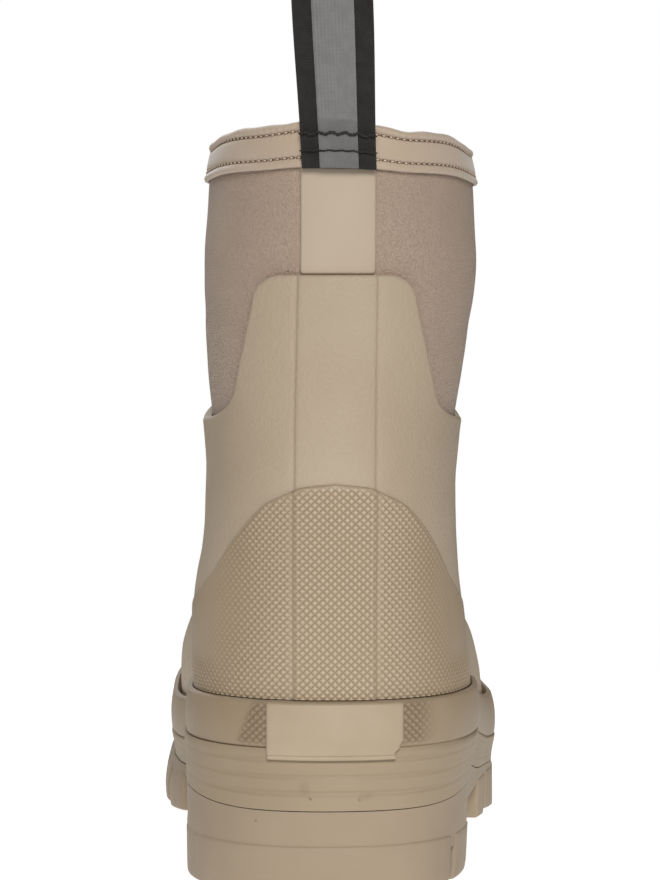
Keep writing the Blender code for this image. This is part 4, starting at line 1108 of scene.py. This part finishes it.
def tread_out(y, z, turn):
    """How far out from the last the tread's side stands, at a height along the foot."""
    share = np.clip((z - ground(y)) / (seam_height(y) - ground(y)), 0, 1)
    fore = np.clip((y / LENGTH + 0.5 - FORE_FROM) / FORE_SPAN, 0, 1)
    keeps, fuller = side_keeps(turn)
    outer = np.maximum(np.sin(2 * np.pi * turn), 0)
    return (SIDE_STACK + (fuller - CUP_WALL * curve(TREAD_SIDE, share, 1) * keeps) * (1 - fore)
            + (LUG_FLARE * curve(TREAD_SIDE, share, 2) * (1 - outer) - OUTER_TUCK * outer) * fore)


def in_arch(y):
    share = y / LENGTH + 0.5
    return (smoothstep(ARCH_BACK - 0.006, ARCH_BACK + 0.02, share)
            * smoothstep(ARCH_FRONT + 0.006, ARCH_FRONT - 0.05, share))


def side_foot(y):
    """The height at which the tread's own side ends, above the channels between the blocks."""
    fore = smoothstep(*FOOT_TURNS, y / LENGTH + 0.5)
    return ground(y) + (LUG_HEAD_HEEL - HEEL_OVERLAP) * (1 - fore) + (LUG_HEAD_BALL - BALL_OVERLAP) * fore


def sole_point(turn, z, shrink=1.0, out_extra=0.0, inward=0.0):
    """A point of the tread at a turn and height, drawn in to the middle line by a share or a length."""
    level = np.ones(turn.shape)
    out = tread_out(on_last(turn, level)[:, 1], z, turn) + out_extra - inward
    point = drawn_in(turn, level, out, shrink)
    point[:, 2] = z
    return point


TREAD_ROWS = 22


def tread_place(turn, row):
    y = on_last(turn, np.ones(turn.shape))[:, 1]
    seam, foot = seam_height(y) - 0.0003, side_foot(y)
    floor = ground(y) + CHANNEL_FLOOR + (ARCH_RISE - CHANNEL_FLOOR) * in_arch(y)
    points = np.zeros((len(turn), 3))
    for index in range(TREAD_ROWS + 1):
        here = row == index
        t, s, f, low = turn[here], seam[here], foot[here], np.minimum(floor, foot)[here]
        if index <= 3:
            points[here] = sole_point(t, s, (0.0, 0.35, 0.7, 0.97)[index])
        elif index <= 13:
            points[here] = sole_point(t, s + (f - s) * (index - 4) / 9)
        elif index <= 17:
            share = (index - 13) / 4
            inward = CHANNEL_SLOPE * (1 - (1 - share) ** 2)
            points[here] = sole_point(t, f + (low - f) * share ** 3, inward=inward)
        else:
            points[here] = sole_point(t, low, (0.9, 0.6, 0.3, 0.12, 0.0)[index - 18], inward=CHANNEL_SLOPE)
    return points + SHIFT


dark_sole = finish_of("tread rubber", seen(157, 140, 118), seen(149, 132, 110), 0.62,
                      ((240, 0.0001), (1300, 0.00005)), specular=0.34, blotch=26.0)
tread = skin("tread_base", np.linspace(0, 1, 361), range(TREAD_ROWS + 1), tread_place, dark_sole, 50)
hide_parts("outsole")
scuff(dark_sole, -0.0298, 0.0224, 0.0006, 0.0006, 0.0, (96, 80, 60))

# The tread's blocks: rubber lugs moulded with the tread, each with softened edges.
# The ones round the edge are given by where they start and end along the foot, as shares of its length.
EDGE_LUGS = ((0.098, 0.190), (0.212, 0.330), (0.505, 0.560), (0.578, 0.636), (0.654, 0.712),
             (0.730, 0.788), (0.806, 0.862), (0.880, 0.930))
# Their head, reach in from the edge, slant along the foot, and scoop of their ground face
HEEL_LUG, FORE_LUG = (LUG_HEAD_HEEL, 0.021, 0.003, 0.0), (LUG_HEAD_BALL, 0.024, 0.006, 0.0012)
# The inner side has no block that starts here
NOT_INNER = 0.505
# The bars across the middle: share of the length, half width in the sole's, length and chevron in metres
BARS = ((0.075, 0.36, 0.014, 0.004), (0.150, 0.36, 0.014, 0.004), (0.225, 0.36, 0.014, 0.004),
        (0.295, 0.40, 0.012, 0.002), (0.545, 0.42, 0.013, 0.006), (0.620, 0.44, 0.013, 0.006),
        (0.695, 0.44, 0.013, 0.006), (0.770, 0.44, 0.013, 0.006), (0.842, 0.40, 0.013, 0.005),
        (0.905, 0.36, 0.012, 0.002))


def turn_of_y(y):
    back, front, _, _ = section(np.array(1.0))
    return np.arccos(np.clip(1 - 2 * (y - back) / (front - back), -1, 1)) / (2 * np.pi)


def add_block(built, place, cells=5):
    """Adds one soft block, cut into cells along its first side and laid out by its three shares."""
    block = bmesh.new()
    bmesh.ops.create_cube(block, size=1.0)
    bmesh.ops.bevel(block, geom=block.verts[:] + block.edges[:], offset=0.06, segments=3, profile=0.5,
                    affect="EDGES", material=-1)
    for axis, cuts in enumerate((cells, 5, 5)):
        normal = Vector([1.0 if i == axis else 0.0 for i in range(3)])
        for cut_at in np.arange(1, cuts) / cuts - 0.5:
            bmesh.ops.bisect_plane(block, geom=block.verts[:] + block.edges[:] + block.faces[:], dist=1e-6,
                                   plane_co=normal * cut_at, plane_no=normal)
    shares = np.array([vert.co for vert in block.verts]) + 0.5
    for vert, point in zip(block.verts, place(*shares.T)):
        vert.co = point
    bmesh.ops.recalc_face_normals(block, faces=block.faces)
    moved = bpy.data.meshes.new("block")
    block.to_mesh(moved)
    block.free()
    built.from_mesh(moved)
    bpy.data.meshes.remove(moved)


lugs = bmesh.new()


def edge_lug(start, end, side):
    head, reach, slant, scoop = FORE_LUG if start > ARCH_BACK else HEEL_LUG

    def place(a, b, c):
        y_share = start + (end - start) * a
        turn = turn_of_y((y_share - 0.5) * LENGTH) * side
        foot = ground(on_last(turn, np.ones(turn.shape))[:, 1])
        low = foot + scoop * b * (1 - a)
        z = low + (head + foot - low) * c
        point = sole_point(turn, z, out_extra=0.0004, inward=(1 - b) * reach)
        point[:, 1] += (1 - b) * slant
        return point + SHIFT

    return place


for start, end in EDGE_LUGS:
    for side in (1, -1):
        if side > 0 or start != NOT_INNER:
            add_block(lugs, edge_lug(start, end, side))


def end_lug(near_turn, far_turn, head):
    def place(a, b, c):
        turn = near_turn + (far_turn - near_turn) * a
        foot = ground(on_last(turn, np.ones(turn.shape))[:, 1])
        return sole_point(turn, foot + head * c, out_extra=0.0005, inward=(1 - b) * 0.014) + SHIFT

    return place


# The blocks round the two ends reach forward to these shares of the length: inner heel, outer heel, toe
END_SHARES = (0.112, 0.091, 0.945)
inner_turn, heel_turn, toe_turn = (float(turn_of_y((share - 0.5) * LENGTH)) for share in END_SHARES)
add_block(lugs, end_lug(-inner_turn, heel_turn, LUG_HEAD_HEEL), 40)
for near, far in ((toe_turn, 0.494), (0.506, 1 - toe_turn)):
    add_block(lugs, end_lug(near, far, LUG_HEAD_BALL), 16)


def bar(share, half, length, chevron):
    def place(a, b, c):
        y0 = (share - 0.5) * LENGTH
        centre = BALL_SWING * float(curve(OUTLINE, np.array([share]), 2)[0])
        width = float(half_width(np.array(1.0), np.array(y0))) * half
        x = centre + width * (2 * b - 1)
        y = y0 + length * (a - 0.5) + chevron * (1 - np.abs(2 * b - 1))
        low = ground(y)
        return np.stack([x, y, low + (CHANNEL_FLOOR + 0.001) * c], -1) + SHIFT

    return place


for entry in BARS:
    add_block(lugs, bar(*entry))
blocks = make_piece("tread_blocks", lugs, dark_sole, 35)

# The insole: a loose footbed of foam with a brushed cloth top, cut to the foot.
# It lies on the midsole's floor, inside the bootie.
# From the middle underneath round its edge to the middle on top: share out to its edge, height
INSOLE_ROWS = ((0.0, 0.0002), (0.5, 0.0002), (0.96, 0.0002), (1.0, 0.0006), (1.0, 0.0030), (0.985, 0.0040),
               (0.94, 0.0043), (0.6, 0.0043), (0.3, 0.0043), (0.0, 0.0043))


def insole_place(turn, row):
    shrink, up = np.array(INSOLE_ROWS)[row.astype(int)].T
    points = ring_point(turn, np.full(turn.shape, -NEOPRENE - GAP), cup_floor, shrink, 0.0)
    points[:, 2] += up
    return points


footbed = finish_of("footbed cloth", seen(92, 88, 84), seen(74, 70, 67), 0.95, ((900, 0.0002),), 0.1, 300.0,
                    sheen=0.4)
insole = skin("footbed", np.linspace(0, 1, 241), range(len(INSOLE_ROWS)), insole_place, footbed)
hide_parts("insole")

# The studio: a plain white floor in plain white surroundings, which give little light of their own.
# A wide soft sun stands above and behind the camera, a low one fills the left side, and one lights the toe.
FLOOR_BASE, FLOOR_GLOW, AIR_LIGHT, AIR_SEEN = 0.3, 0.88, 0.14, 1.0
WHITE = (1.0, 1.0, 1.0, 1.0)
studio = bmesh.new()
bmesh.ops.create_grid(studio, x_segments=1, y_segments=1, size=0.5)
paper = bpy.data.materials.new("white floor")
paper.use_nodes = True
for socket, value in (("Base Color", (FLOOR_BASE, FLOOR_BASE, FLOOR_BASE, 1.0)), ("Roughness", 0.9),
                      ("Emission Color", WHITE), ("Emission Strength", FLOOR_GLOW)):
    paper.node_tree.nodes["Principled BSDF"].inputs[socket].default_value = value
floor_mesh = bpy.data.meshes.new("floor")
studio.to_mesh(floor_mesh)
studio.free()
floor_mesh.materials.append(paper)
floor = bpy.data.objects.new("floor", floor_mesh)
bpy.context.collection.objects.link(floor)

bpy.context.scene.view_settings.view_transform = "Standard"
world = bpy.context.scene.world or bpy.data.worlds.new("studio air")
bpy.context.scene.world = world
world.use_nodes = True
air, links = world.node_tree.nodes, world.node_tree.links
soft_air, white_air = air["Background"], air.new("ShaderNodeBackground")
for node, strength in ((soft_air, AIR_LIGHT), (white_air, AIR_SEEN)):
    node.inputs["Color"].default_value = WHITE
    node.inputs["Strength"].default_value = strength
either = air.new("ShaderNodeMixShader")
links.new(air.new("ShaderNodeLightPath").outputs["Is Camera Ray"], either.inputs["Fac"])
links.new(soft_air.outputs["Background"], either.inputs[1])
links.new(white_air.outputs["Background"], either.inputs[2])
links.new(either.outputs["Shader"], air["World Output"].inputs["Surface"])
# Each light: name, where it comes from, softness in degrees, strength
SUNS = (("key light", (0.10, -1.0, 0.60), 26.0, 2.2), ("low fill light", (-0.3, -1.0, 0.15), 70.0, 0.35),
        ("front light", (-0.3, 1.0, 0.8), 60.0, 1.1))
for name, source, softness, strength in SUNS:
    lamp = bpy.data.lights.new(name, "SUN")
    lamp.angle, lamp.energy = math.radians(softness), strength
    holder = bpy.data.objects.new(name, lamp)
    holder.location = source
    holder.rotation_euler = (-Vector(source)).to_track_quat("-Z", "Y").to_euler()
    bpy.context.collection.objects.link(holder)

# The camera: one metre behind the heel, a long lens a little to the inner side, looking slightly down.
DISTANCE, EYE_HEIGHT, TILT, SWING = 1.0, 0.176, math.radians(2.08), math.radians(2.15)
LENS, SENSOR = 135.0, 36.0
AIM_X = -0.0017 + SHIFT[0]
camera_data = bpy.data.cameras.new("camera")
camera_data.lens, camera_data.sensor_fit, camera_data.sensor_height = LENS, "VERTICAL", SENSOR
camera = bpy.data.objects.new("camera", camera_data)
camera.location = (AIM_X - math.sin(SWING) * DISTANCE, cad_box[0][1] - math.cos(SWING) * DISTANCE, EYE_HEIGHT)
camera.rotation_euler = (math.radians(90) - TILT, 0.0, -SWING)
bpy.context.collection.objects.link(camera)
bpy.context.scene.camera = camera
